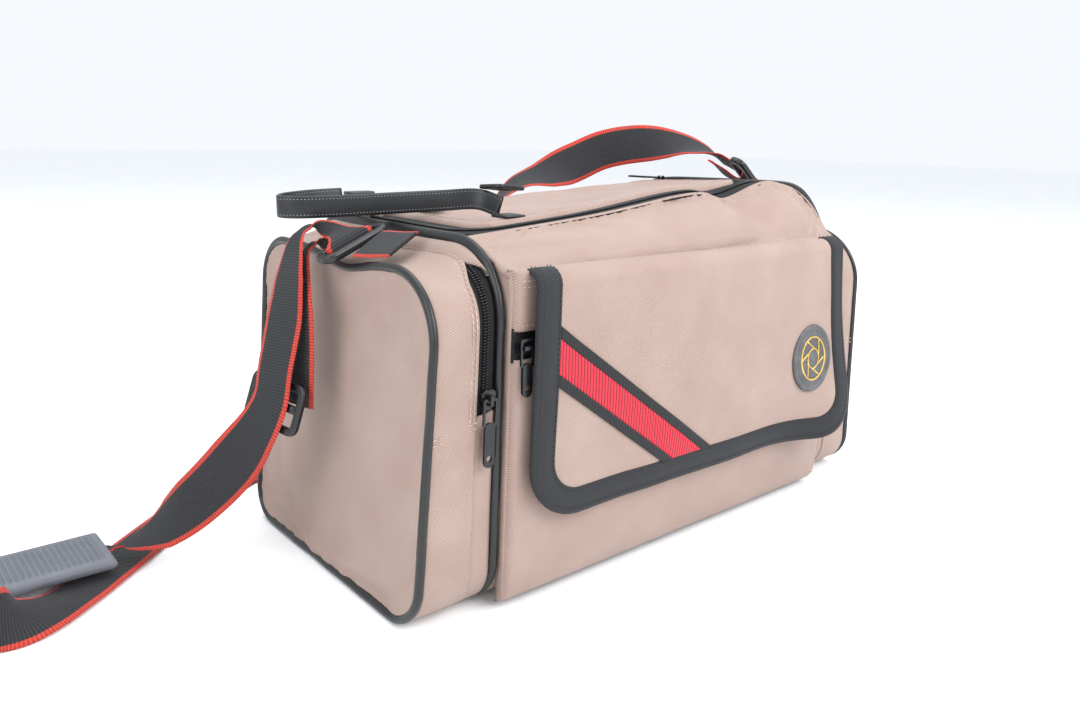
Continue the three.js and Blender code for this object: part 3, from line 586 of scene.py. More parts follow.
@dataclass(frozen=True)
class Finish:
    """What all finishes share: a shader with its constant values, and a tree to draw patterns in."""

    name: str
    colour: str
    roughness: float = 0.6
    metallic: float = 0.0
    sheen: float = 0.0
    coat: float = 0.0

    def material(self) -> Material:
        """The finish as a material, made once."""
        made = bpy.data.materials.get(self.name)
        if made is None:
            made = bpy.data.materials.new(self.name)
            made.use_nodes = True
            tree = made.node_tree
            tree.nodes.clear()
            shader = add_node(
                tree,
                "ShaderNodeBsdfPrincipled",
                {
                    "Roughness": self.roughness,
                    "Metallic": self.metallic,
                    "Sheen Weight": self.sheen,
                    "Sheen Roughness": 0.4,
                    "Coat Weight": self.coat,
                    "Coat Roughness": 0.15,
                },
            )
            add_node(tree, "ShaderNodeOutputMaterial", {"Surface": shader.outputs[0]})
            self.draw(tree, shader)
            made.diffuse_color = linear(self.colour)
        return made

    def draw(self, tree: Tree, shader: Node) -> None:
        """Gives the shader its colour, roughness and bump."""
        raise NotImplementedError

    def coordinates(self, tree: Tree, space: Space, turn: float = 0.0) -> Socket:
        """Coordinates in metres, turned by some degrees about Z."""
        source = add_node(tree, "ShaderNodeTexCoord").outputs[space.value]
        return add_node(
            tree, "ShaderNodeMapping", {"Vector": source, "Rotation": (0, 0, math.radians(turn))}
        ).outputs[0]

    def bands(
        self, tree: Tree, at: Socket, pitch: float, axis: str = "X"
    ) -> Socket:
        """Soft bands, from 0 to 1, repeating every pitch millimetres."""
        scale = 2 * math.pi / (20 * pitch * MM)
        return add_node(
            tree, "ShaderNodeTexWave", {"Vector": at, "Scale": scale}, bands_direction=axis
        ).outputs["Fac"]

    def speckle(
        self, tree: Tree, at: Socket, size: float, detail: float = 2.0
    ) -> Socket:
        """Noise, from 0 to 1, whose grains are about size millimetres."""
        return add_node(
            tree, "ShaderNodeTexNoise", {"Vector": at, "Scale": 1 / (size * MM), "Detail": detail}
        ).outputs["Fac"]

    def between(
        self,
        tree: Tree,
        share: Socket,
        low: str | object,
        high: str | object,
        steps: tuple[float, float] = (0.0, 1.0),
    ) -> Socket:
        """A colour between two, as share runs between two steps."""
        ranged = add_node(
            tree, "ShaderNodeMapRange", {"Value": share, "From Min": steps[0], "From Max": steps[1]}
        ).outputs[0]
        ends = [linear(c) if isinstance(c, str) else c for c in (low, high)]
        return add_node(
            tree, "ShaderNodeMix", {0: ranged, 6: ends[0], 7: ends[1]}, data_type="RGBA"
        ).outputs[2]

    def number(
        self, tree: Tree, share: Socket, low: float, high: float
    ) -> Socket:
        """A number between two, as share runs from 0 to 1."""
        return add_node(tree, "ShaderNodeMapRange", {"Value": share, "To Min": low, "To Max": high}).outputs[0]

    def bump(
        self,
        tree: Tree,
        shader: Node,
        layers: Sequence[tuple[Socket, float, float]],
    ) -> None:
        """Stacks bump layers of height, depth in millimetres and strength on the shader."""
        normal = None
        for height, depth, strength in layers:
            links = {"Height": height, "Distance": depth * MM, "Strength": strength}
            if normal is not None:
                links["Normal"] = normal
            normal = add_node(tree, "ShaderNodeBump", links).outputs[0]
        tree.links.new(normal, shader.inputs["Normal"])


def shade(code: str, factor: float) -> str:
    """A hex colour made lighter or darker."""
    return "#" + "".join(f"{min(int(int(code[i:i + 2], 16) * factor), 255):02x}" for i in (1, 3, 5))


@dataclass(frozen=True)
class TwillNylon(Finish):
    """Nylon twill: fine slanting ribs of two close shades, matt with a soft sheen at grazing angles."""

    pitch: float = 1.05  # real ribs are 0.7 mm apart, drawn coarser so that they show

    def draw(self, tree: Tree, shader: Node) -> None:
        """Slanting ribs crossed by threads, mottled by uneven dye and handling."""
        flat = self.coordinates(tree, Space.PATTERN)
        slanted = self.coordinates(tree, Space.PATTERN, 52)
        ribs = self.bands(tree, slanted, self.pitch)
        threads = self.bands(tree, flat, self.pitch * 0.62, "Y")
        mottle = self.speckle(tree, flat, 38, 3)
        grain = self.speckle(tree, flat, 1.1, 1)
        ribbed = self.between(tree, ribs, shade(self.colour, 0.9), shade(self.colour, 1.05))
        grained = self.between(tree, grain, "#7f7f7f", "#8c8a88", (0.3, 0.7))
        both = add_node(
            tree, "ShaderNodeMix", {0: 0.55, 6: ribbed, 7: grained}, data_type="RGBA", blend_type="OVERLAY"
        ).outputs[2]
        faded = self.between(tree, mottle, "#f2ecea", "#ffffff", (0.3, 0.7))
        colour = add_node(tree, "ShaderNodeMix", {0: 1.0, 6: both, 7: faded}, data_type="RGBA", blend_type="MULTIPLY")
        tree.links.new(colour.outputs[2], shader.inputs["Base Color"])
        gloss = self.number(tree, grain, self.roughness - 0.08, self.roughness + 0.1)
        tree.links.new(gloss, shader.inputs["Roughness"])
        self.bump(tree, shader, [(ribs, 0.12, 0.5), (threads, 0.06, 0.35), (grain, 0.1, 0.3)])


@dataclass(frozen=True)
class Vinyl(Finish):
    """Soft PVC over cord: black and glossy, faintly uneven from the cord inside."""

    def draw(self, tree: Tree, shader: Node) -> None:
        """Soft unevenness, with duller scuffed patches."""
        at = self.coordinates(tree, Space.OBJECT)
        uneven = self.speckle(tree, at, 6, 3)
        scuff = self.speckle(tree, at, 18, 5)
        colour = self.between(tree, scuff, self.colour, shade(self.colour, 1.7), (0.5, 0.75))
        tree.links.new(colour, shader.inputs["Base Color"])
        gloss = self.number(tree, scuff, self.roughness * 0.8, self.roughness * 1.5)
        tree.links.new(gloss, shader.inputs["Roughness"])
        self.bump(tree, shader, [(uneven, 0.35, 0.35)])


@dataclass(frozen=True)
class Webbing(Finish):
    """Woven polyester webbing: ribs across its width, with edges of another colour."""

    edge_colour: str = "#d8402f"
    edge_from: float = 99.0  # distance from the middle where the edge colour begins
    rib: float = 1.5
    along: str = "Y"

    def draw(self, tree: Tree, shader: Node) -> None:
        """Ribs along the strap, broken into threads, and coloured selvedges."""
        at = self.coordinates(tree, Space.PATTERN)
        cross = "X" if self.along == "Y" else "Y"
        ribs = self.bands(tree, at, self.rib, self.along)
        threads = self.bands(tree, at, 1.9, cross)
        grain = self.speckle(tree, at, 0.8, 1)
        split = add_node(tree, "ShaderNodeSeparateXYZ", {0: at}).outputs["X"]
        side = add_node(tree, "ShaderNodeMath", {0: split}, operation="ABSOLUTE").outputs[0]
        edge = add_node(
            tree,
            "ShaderNodeMapRange",
            {"Value": side, "From Min": (self.edge_from - 0.25) * MM, "From Max": (self.edge_from + 0.25) * MM},
        ).outputs[0]
        body = self.between(tree, ribs, shade(self.colour, 0.55), shade(self.colour, 1.35))
        selvedge = self.between(tree, ribs, shade(self.edge_colour, 0.72), self.edge_colour)
        both = add_node(tree, "ShaderNodeMix", {0: edge, 6: body, 7: selvedge}, data_type="RGBA").outputs[2]
        fuzz = self.between(tree, grain, "#d2d2d2", "#ffffff", (0.3, 0.7))
        colour = add_node(tree, "ShaderNodeMix", {0: 1.0, 6: both, 7: fuzz}, data_type="RGBA", blend_type="MULTIPLY")
        tree.links.new(colour.outputs[2], shader.inputs["Base Color"])
        self.bump(tree, shader, [(ribs, 0.35, 0.7), (threads, 0.12, 0.4), (grain, 0.12, 0.3)])


@dataclass(frozen=True)
class Herringbone(Finish):
    """Cotton binding tape: a herringbone of slanting ribs that turn at its middle."""

    def draw(self, tree: Tree, shader: Node) -> None:
        """Ribs that slant one way on each half of the tape's width."""
        at = self.coordinates(tree, Space.PATTERN)
        parts = add_node(tree, "ShaderNodeSeparateXYZ", {0: at})
        across = parts.outputs["X"]
        folded = add_node(tree, "ShaderNodeMath", {0: across, 1: 3.2 * MM}, operation="PINGPONG").outputs[0]
        chevron = add_node(tree, "ShaderNodeMath", {0: parts.outputs["Y"], 1: folded}, operation="ADD").outputs[0]
        line = add_node(tree, "ShaderNodeCombineXYZ", {0: chevron}).outputs[0]
        ribs = self.bands(tree, line, 1.5)
        grain = self.speckle(tree, at, 0.9, 1)
        colour = self.between(tree, ribs, shade(self.colour, 0.6), shade(self.colour, 1.5))
        tree.links.new(colour, shader.inputs["Base Color"])
        self.bump(tree, shader, [(ribs, 0.25, 0.6), (grain, 0.15, 0.35)])


@dataclass(frozen=True)
class Moulded(Finish):
    """A moulded plastic, rubber or cast fitting: even, with a fine texture and rubbed patches."""

    grain: float = 0.5
    relief: float = 0.05
    wear: float = 0.3  # how much lighter the rubbed patches are

    def draw(self, tree: Tree, shader: Node) -> None:
        """Fine spark-eroded grain, and slightly lighter rubbed patches."""
        at = self.coordinates(tree, Space.OBJECT)
        fine = self.speckle(tree, at, self.grain, 2)
        worn = self.speckle(tree, at, 9, 4)
        colour = self.between(tree, worn, self.colour, shade(self.colour, 1 + self.wear), (0.45, 0.8))
        tree.links.new(colour, shader.inputs["Base Color"])
        gloss = self.number(tree, worn, self.roughness * 1.15, self.roughness * 0.8)
        tree.links.new(gloss, shader.inputs["Roughness"])
        self.bump(tree, shader, [(fine, self.relief, 0.4)])


@dataclass(frozen=True)
class Leatherette(Finish):
    """Coated leather-look strap: smooth with a fine pebble grain and a low gloss."""

    def draw(self, tree: Tree, shader: Node) -> None:
        """Pebble grain of closed cells, with creased duller patches."""
        at = self.coordinates(tree, Space.OBJECT)
        cells = add_node(tree, "ShaderNodeTexVoronoi", {"Vector": at, "Scale": 1 / (0.9 * MM)}).outputs["Distance"]
        worn = self.speckle(tree, at, 12, 4)
        colour = self.between(tree, worn, self.colour, shade(self.colour, 1.5), (0.4, 0.75))
        tree.links.new(colour, shader.inputs["Base Color"])
        gloss = self.number(tree, worn, self.roughness * 0.85, self.roughness * 1.25)
        tree.links.new(gloss, shader.inputs["Roughness"])
        self.bump(tree, shader, [(cells, 0.08, 0.4), (worn, 0.4, 0.25)])


@dataclass(frozen=True)
class Plaster(Finish):
    """Painted studio floor: pale, matt and barely uneven."""

    def draw(self, tree: Tree, shader: Node) -> None:
        """Faint clouding and a fine tooth."""
        at = self.coordinates(tree, Space.OBJECT)
        cloud = self.speckle(tree, at, 160, 3)
        colour = self.between(tree, cloud, shade(self.colour, 0.985), self.colour, (0.3, 0.7))
        tree.links.new(colour, shader.inputs["Base Color"])
        self.bump(tree, shader, [(self.speckle(tree, at, 4, 4), 0.3, 0.2)])


TWILL = TwillNylon("twill_nylon_taupe", "#b8a196", roughness=0.68, sheen=0.1)
LINING = TwillNylon("lining_nylon_charcoal", "#3a3a3e", roughness=0.7, sheen=0.1, pitch=1.1)
PIPING = Vinyl("vinyl_piping_black", "#0b0c0e", roughness=0.36, coat=0.12)
STRAP_WEB = Webbing("webbing_black_red_edged", "#1f2024", roughness=0.8, sheen=0.05, edge_from=12.2)
BLACK_WEB = Webbing("webbing_black_narrow", "#17181b", roughness=0.8, sheen=0.04)
RED_WEB = Webbing("webbing_red_band", "#cf1f33", roughness=0.75, sheen=0.06, rib=2.6)
TAPE = Webbing("zip_tape_black", "#141518", roughness=0.85, rib=1.2, along="X")
BINDING = Herringbone("binding_tape_black", "#1b1c1f", roughness=0.82, sheen=0.04)
COIL = Moulded("zip_coil_nylon_black", "#101114", roughness=0.35, grain=0.8)
ZIP_METAL = Moulded("zinc_slider_black_enamel", "#111215", roughness=0.3, metallic=0.3, coat=0.2)
CLIP_METAL = Moulded("cast_clip_gunmetal", "#34373b", roughness=0.36, metallic=0.6, relief=0.15)
BUCKLE = Moulded("acetal_buckle_black", "#0f1114", roughness=0.36, coat=0.08)
PAD_RUBBER = Moulded("moulded_pad_grey", "#62656d", roughness=0.66, grain=0.4, relief=0.02, wear=0.06)
BADGE_RUBBER = Moulded("moulded_badge_charcoal", "#4a4a4c", roughness=0.55, grain=0.5, relief=0.08)
GILT = Moulded("gilt_foil", "#c9a65a", roughness=0.35, metallic=0.85)
LEATHER = Leatherette("coated_leather_black", "#0e1013", roughness=0.4)
THREAD_PALE = Moulded("sewing_thread_taupe", "#a89288", roughness=0.7)
THREAD_DARK = Moulded("sewing_thread_grey", "#7b7d80", roughness=0.7)
THREAD_BLACK = Moulded("sewing_thread_black", "#1c1d20", roughness=0.7)
FOAM = TwillNylon("divider_brushed_cloth", "#3d3e42", roughness=0.85, sheen=0.4, pitch=2.2)
BOARD = Moulded("fibre_board_black", "#2a2a2c", roughness=0.8, grain=1.5, relief=0.2)
FLOOR = Plaster("studio_floor_white", "#fbfcfd", roughness=0.75)


def dress(piece: Piece, *finishes: Finish) -> Piece:
    """Gives a piece its finishes, one for each material slot."""
    if piece.data.materials:
        piece.data.materials.clear()
    for finish in finishes:
        piece.data.materials.append(finish.material())
    return piece


def settle_in(piece: Piece, body: str, nodes: Sequence[str] = ()) -> None:
    """Makes a piece ride on a body and stand for CAD nodes."""
    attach(piece, body)
    if nodes:
        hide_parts(*nodes)
    LOG.info("%s rides on %s, %d faces", piece.name, body, len(piece.data.polygons))


# ------------------------------------------------------------------ repeated small parts
class Bead(Enum):
    """What is set out along a line."""

    STITCH = "stitch"
    TOOTH = "tooth"


def bead_tree(bead: Bead, finish: Finish) -> Tree:
    """A node tree that sets small beads out along a line, upright on its 'up' attribute.

    Args:
        bead: What is set out, which names the tree.
        finish: The beads' finish.

    Returns:
        The tree, with inputs for spacing, length, width and height.
    """
    name = f"{bead.value}_{finish.name}"
    tree = bpy.data.node_groups.get(name)
    if tree is not None:
        return tree
    tree = bpy.data.node_groups.new(name, "GeometryNodeTree")
    face = tree.interface
    face.new_socket("Line", in_out="INPUT", socket_type="NodeSocketGeometry")
    for label in ("Spacing", "Length", "Width", "Height"):
        face.new_socket(label, in_out="INPUT", socket_type="NodeSocketFloat")
    face.new_socket("Beads", in_out="OUTPUT", socket_type="NodeSocketGeometry")
    source = add_node(tree, "NodeGroupInput").outputs
    curve = add_node(tree, "GeometryNodeMeshToCurve", {0: source["Line"]}).outputs[0]
    even = add_node(
        tree, "GeometryNodeResampleCurve", {"Curve": curve, "Length": source["Spacing"]}, mode="LENGTH"
    ).outputs[0]
    up = add_node(tree, "GeometryNodeInputNamedAttribute", {"Name": "up"}, data_type="FLOAT_VECTOR").outputs[0]
    tangent = add_node(tree, "GeometryNodeInputTangent").outputs[0]
    upright = add_node(tree, "FunctionNodeAlignRotationToVector", {"Vector": up}, axis="Z").outputs[0]
    turned = add_node(
        tree, "FunctionNodeAlignRotationToVector", {"Rotation": upright, "Vector": tangent}, axis="X", pivot_axis="Z"
    ).outputs[0]
    size = add_node(
        tree, "ShaderNodeCombineXYZ", {0: source["Length"], 1: source["Width"], 2: source["Height"]}
    ).outputs[0]
    ball = add_node(tree, "GeometryNodeMeshUVSphere", {"Segments": 8, "Rings": 5, "Radius": 0.5}).outputs["Mesh"]
    shaped = add_node(tree, "GeometryNodeTransform", {"Geometry": ball, "Scale": size}).outputs[0]
    placed = add_node(
        tree, "GeometryNodeInstanceOnPoints", {"Points": even, "Instance": shaped, "Rotation": turned}
    ).outputs[0]
    real = add_node(tree, "GeometryNodeRealizeInstances", {0: placed}).outputs[0]
    painted = add_node(tree, "GeometryNodeSetMaterial", {"Geometry": real, "Material": finish.material()}).outputs[0]
    add_node(tree, "NodeGroupOutput", {"Beads": painted})
    return tree


@dataclass
class BeadRow:
    """A row of stitches or zip teeth along a line on the bag."""

    bead: Bead
    finish: Finish
    spacing: float
    size: tuple[float, float, float]

    def lay(self, name: str, lines: Sequence[tuple[np.ndarray, np.ndarray]]) -> Piece:
        """Sets the row out.

        Args:
            name: The piece's name.
            lines: Points in millimetres and their upward directions, for each line.

        Returns:
            The beads as a plain mesh.
        """
        points = np.concatenate([line for line, _ in lines]) * MM
        ups = np.concatenate([up for _, up in lines])
        edges, start = [], 0
        for line, _ in lines:
            edges += [(start + i, start + i + 1) for i in range(len(line) - 1)]
            start += len(line)
        mesh = bpy.data.meshes.new(name)
        mesh.from_pydata([tuple(p) for p in points], edges, [])
        mesh.attributes.new("up", "FLOAT_VECTOR", "POINT").data.foreach_set("vector", ups.astype(np.float32).ravel())
        work = bpy.data.objects.new(name + "_line", mesh)
        bpy.context.scene.collection.objects.link(work)
        modifier = work.modifiers.new("beads", "NODES")
        tree = bead_tree(self.bead, self.finish)
        modifier.node_group = tree
        wanted = {
            "Spacing": self.spacing,
            "Length": self.size[0],
            "Width": self.size[1],
            "Height": self.size[2],
        }
        for item in tree.interface.items_tree:
            if item.in_out == "INPUT" and item.name in wanted:
                modifier[item.identifier] = wanted[item.name] * MM
        graph = bpy.context.evaluated_depsgraph_get()
        made = bpy.data.meshes.new_from_object(work.evaluated_get(graph), depsgraph=graph)
        bpy.data.objects.remove(work)
        made.name = name
        for attribute in [a.name for a in made.attributes if a.name == "up"]:
            made.attributes.remove(made.attributes[attribute])
        made.polygons.foreach_set("use_smooth", [True] * len(made.polygons))
        piece = bpy.data.objects.new(name, made)
        bpy.context.scene.collection.objects.link(piece)
        return dress(piece, self.finish)


SEAM_STITCH = BeadRow(Bead.STITCH, THREAD_PALE, 3.2, (2.5, 0.62, 0.5))
STRAP_STITCH = BeadRow(Bead.STITCH, THREAD_DARK, 1.9, (1.0, 0.42, 0.3))
BINDING_STITCH = BeadRow(Bead.STITCH, THREAD_BLACK, 2.6, (1.9, 0.5, 0.4))
COIL_TOOTH = BeadRow(Bead.TOOTH, COIL, 1.45, (1.05, 2.2, 1.6))


# ------------------------------------------------------------------ the bag's cloth
STUFFING = (
    Fullness((52, -22, 205), (72, 60, 45), (0, 0, 7.0)),
    Fullness((-60, -62, 190), (60, 26, 26), (0, -2.5, 1.5)),
    Fullness((18, -72, 192), (50, 26, 26), (0, -5.5, 4.0)),
    Fullness((76, -70, 198), (19, 34, 28), (0, 7.0, -8.0)),
    Fullness((112, -62, 202), (24, 30, 30), (0, -3.0, 6.0)),
)


def stuffed(points: np.ndarray) -> np.ndarray:
    """Settles pattern points and swells them as the stuffing does."""
    placed = BAG.settle(points)
    return placed + sum(part.move(placed) for part in STUFFING)


def ease(value: np.ndarray, edge: float) -> np.ndarray:
    """1 inside, falling in a quarter round to 0 over the last edge millimetres."""
    short = np.clip((edge - value) / edge, 0, 1)
    return np.sqrt(np.maximum(1 - short**2, 0))


def ends_dense(low: float, high: float, count: int, tight: float = 0.5) -> np.ndarray:
    """Values from low to high, closer together at both ends."""
    t = np.linspace(0, 1, count)
    dense = (1 - np.cos(math.pi * t)) / 2
    return low + (high - low) * (tight * dense + (1 - tight) * t)


def outline_cloth(along: np.ndarray, across: np.ndarray, out: np.ndarray | float) -> tuple[np.ndarray, np.ndarray]:
    """Pattern points and coordinates over the end outline.

    Args:
        along: Distances along the outline.
        across: X of each point, of a shape that goes with the distances.
        out: How far the cloth stands off the outline.

    Returns:
        Points and their pattern coordinates.
    """
    along, across = np.broadcast_arrays(along, across)
    y, z, ny, nz = BAG.profile(along)
    points = np.stack([across, y + ny * out, z + nz * out], axis=-1)
    return points, np.stack([across, along], axis=-1)


@dataclass
class MainBody:
    """The padded main compartment: its shell, rounded front top, seams and inside."""

    end: float = 142.7
    wall: float = 4.0
    hinge_y: float = 65.3
    seam_t: float = 60.0
    top_back_t: float = 582.79

    def build(self) -> None:
        """Builds every piece of the main compartment."""
        self.shell()
        self.front_top()
        self.gores()
        self.end_walls()
        for side, name in ((-1, "left"), (1, "right")):
            tube = piping(f"main_piping_{name}_cord", side * BAG.main_seam, 0.0)
            settle_in(dress(tube, PIPING), "body", [f"main_piping_{name}"])
        for name in ("divider_left", "divider_right"):
            dress(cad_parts[name], FOAM)
        dress(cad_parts["base_board"], BOARD)

    def shell(self) -> None:
        """Front, base, back and the back strip of the top, as one wrap of cloth."""
        x = ends_dense(-self.end, self.end, 91, 0.3)
        t_hinge = self.top_back_t + 67 - self.hinge_y
        t_corner = self.top_back_t + 67 - 56.8
        past = smooth_step(118.3, 120.5, np.abs(x))
        last = t_hinge + (t_corner - t_hinge) * past
        share = ends_dense(0, 1, 150, 0.2)[:, None]
        along = self.seam_t + (last[None, :] - self.seam_t) * share
        middle = ease(self.end - np.abs(x), 90)[None, :]
        back = smooth_step(398, 450, along) * (1 - smooth_step(505, 560, along))
        points, uv = outline_cloth(along, x[None, :], 4.0 * back * middle)
        placed = stuffed(points)
        soft = wrinkle(placed, 46, 3.1) * 1.2 + wrinkle(placed, 19, 7.7) * 0.35
        placed[..., 1] += soft * back
        piece = dress(cloth_piece("main_shell_cloth", placed, uv, self.wall), TWILL, LINING)
        settle_in(piece, "body", ["main_shell"])
        line, _ = outline_cloth(np.full(60, t_hinge - 4.0), np.linspace(-116, 116, 60), 0.4)
        row = stuffed(line)
        stitches = SEAM_STITCH.lay("shell_hinge_stitches", [(row, np.tile([0.0, 0.0, 1.0], (len(row), 1)))])
        settle_in(stitches, "body")

    def front_top(self) -> None:
        """The rounded front of the top, stuffed full and sewn to the front pocket."""
        x = ends_dense(-self.end, self.end, 121, 0.35)
        u = np.linspace(0, 1, 44)
        full = (1 - np.abs(x / self.end) ** 5)[None, :, None]
        ends = np.array([[-55, 190], [-73, 189.5], [-86.5, 178.5], [-96, 177.2]], float)
        middle = np.array([[-55, 190], [-76, 191.5], [-97.5, 192.5], [-97.5, 177.2]], float)
        knots = ends[:, None, :] * (1 - full[0][None]) + middle[:, None, :] * full[0][None]
        w = [(1 - u) ** 3, 3 * u * (1 - u) ** 2, 3 * u * u * (1 - u), u**3]
        yz = sum(w[k][:, None, None] * knots[k][None] for k in range(4))
        points = np.concatenate([np.broadcast_to(x[None, :, None], yz.shape[:2] + (1,)), yz], axis=-1)
        placed = stuffed(points)
        uv = np.stack(np.broadcast_arrays(x[None, :], (u * 55)[:, None]), axis=-1)
        near_seam = np.sin(math.pi * np.clip(u, 0, 1))[:, None]
        push = grid_normals(placed)
        push *= np.sign(np.sum(push * np.array([0, -0.7, 0.7]), axis=-1, keepdims=True))
        folds = wrinkle(placed * np.array([1.0, 0.55, 0.55]), 30, 5.2) * 1.5 + wrinkle(placed, 12, 1.4) * 0.3
        placed = placed + push * (folds * near_seam)[..., None]
        pinned = np.zeros(placed.shape[:2], bool)
        pinned[[0, -1], :] = True
        pinned[:, [0, -1]] = True
        placed = relax_cloth(placed, pinned, 0.6, 0.012, 5.0)
        piece = dress(cloth_piece("front_top_cloth", placed, uv, 3.0), TWILL, LINING)
        settle_in(piece, "body", ["front_top_panel"])

    def gores(self) -> None:
        """The small gores that close the front pocket's ends against the seams' piping."""
        u = np.linspace(0, 1, 20)
        w = [(1 - u) ** 3, 3 * u * (1 - u) ** 2, 3 * u * u * (1 - u), u**3]
        knots = np.array([[-55, 190], [-73, 189.5], [-86.5, 178.5], [-96, 177.2]], float)
        over = sum(w[k][:, None] * knots[k][None] for k in range(4))
        down = np.array([[-97.5, z] for z in np.linspace(170, 8, 26)])
        front = np.concatenate([over, down, [[-93.4, 4.0]]])
        step = np.concatenate([[0], np.cumsum(np.linalg.norm(np.diff(front, axis=0), axis=1))])
        along = np.concatenate([np.linspace(0, 59.7, 20), 59.69 + 152 - np.clip(down[:, 1], 26, 152), [187.5]])
        y, z, _, _ = BAG.profile(along)
        inner = np.stack([y + 2.5, z - 0.5], axis=-1)
        for side, name in ((-1, "left"), (1, "right")):
            share = np.linspace(0, 1, 5)[None, :, None]
            yz = inner[:, None, :] * (1 - share) + front[:, None, :] * share
            x = np.full(yz.shape[:2] + (1,), side * 142.3)
            placed = stuffed(np.concatenate([x, yz], axis=-1))
            uv = np.stack(np.broadcast_arrays(share[..., 0] * 9, step[:, None]), axis=-1)
            flip = grid_normals(placed)[10, 2, 0] * side < 0
            gore = cloth_piece(f"front_gore_{name}", placed, uv, 1.5, flip=bool(flip))
            settle_in(dress(gore, TWILL, LINING), "body")

    def end_walls(self) -> None:
        """The lined walls between the main compartment and the end pockets."""
        for side, name in ((-1, "left"), (1, "right")):
            grid, uv = end_panel(side * (self.end - 1.0), 4.6)
            placed = stuffed(grid)
            piece = dress(cloth_piece(f"{name}_end_wall_lining", placed, uv, 1.4), LINING, LINING)
            settle_in(piece, "body", [f"{name}_end_wall"])


def piping(name: str, x: float, proud: float) -> Piece:
    """A covered cord sewn round the end outline, drawn in under the base."""
    distance = np.linspace(0, BAG.girth, 361)[:-1]
    y, z, ny, nz = BAG.profile(distance)
    radius = BAG.piping_radius
    lift = proud - (proud + radius + 0.3) * np.maximum(0, -nz)
    wave = np.array([noise.noise(Vector((d * 0.05, x, 0.0))) for d in distance]) * 0.25
    sides = 14
    angle = np.linspace(0, 2 * math.pi, sides, endpoint=False)
    across = x + radius * np.cos(angle)[None, :] + wave[:, None]
    out = lift[:, None] + radius * np.sin(angle)[None, :]
    points = np.stack([across, y[:, None] + ny[:, None] * out, z[:, None] + nz[:, None] * out], axis=-1)
    uv = np.stack(np.broadcast_arrays(angle[None, :] * radius, distance[:, None]), axis=-1)
    return mesh_piece(name, stuffed(points), ring_faces(len(distance), sides, True), uv)


def end_panel(x: float, inset: float, rows: int = 56, columns: int = 52) -> tuple[np.ndarray, np.ndarray]:
    """A flat panel with the end outline, as pattern points and coordinates."""
    reach = BAG.half - inset
    y = ends_dense(-reach, reach, rows, 0.8)
    low = np.full_like(y, inset)
    high = np.full_like(y, BAG.height - inset)
    for centre, radius, sign, edge, top in (
        (BAG.front_base_radius - BAG.half, BAG.front_base_radius - inset, -1, low, False),
        (BAG.half - BAG.back_base_radius, BAG.back_base_radius - inset, 1, low, False),
        (BAG.front_top_radius - BAG.half, BAG.front_top_radius - inset, -1, high, True),
        (BAG.half - BAG.back_top_radius, BAG.back_top_radius - inset, 1, high, True),
    ):
        past = sign * (y - centre)
        drop = radius - np.sqrt(np.maximum(radius**2 - np.clip(past, 0, radius) ** 2, 0))
        edge += np.where(past > 0, -drop if top else drop, 0)
    share = ends_dense(0, 1, columns, 0.6)
    z = low[:, None] + (high - low)[:, None] * share[None, :]
    grid = np.stack(np.broadcast_arrays(x, y[:, None], z), axis=-1).astype(float)
    return grid, np.stack(np.broadcast_arrays(y[:, None], z), axis=-1)


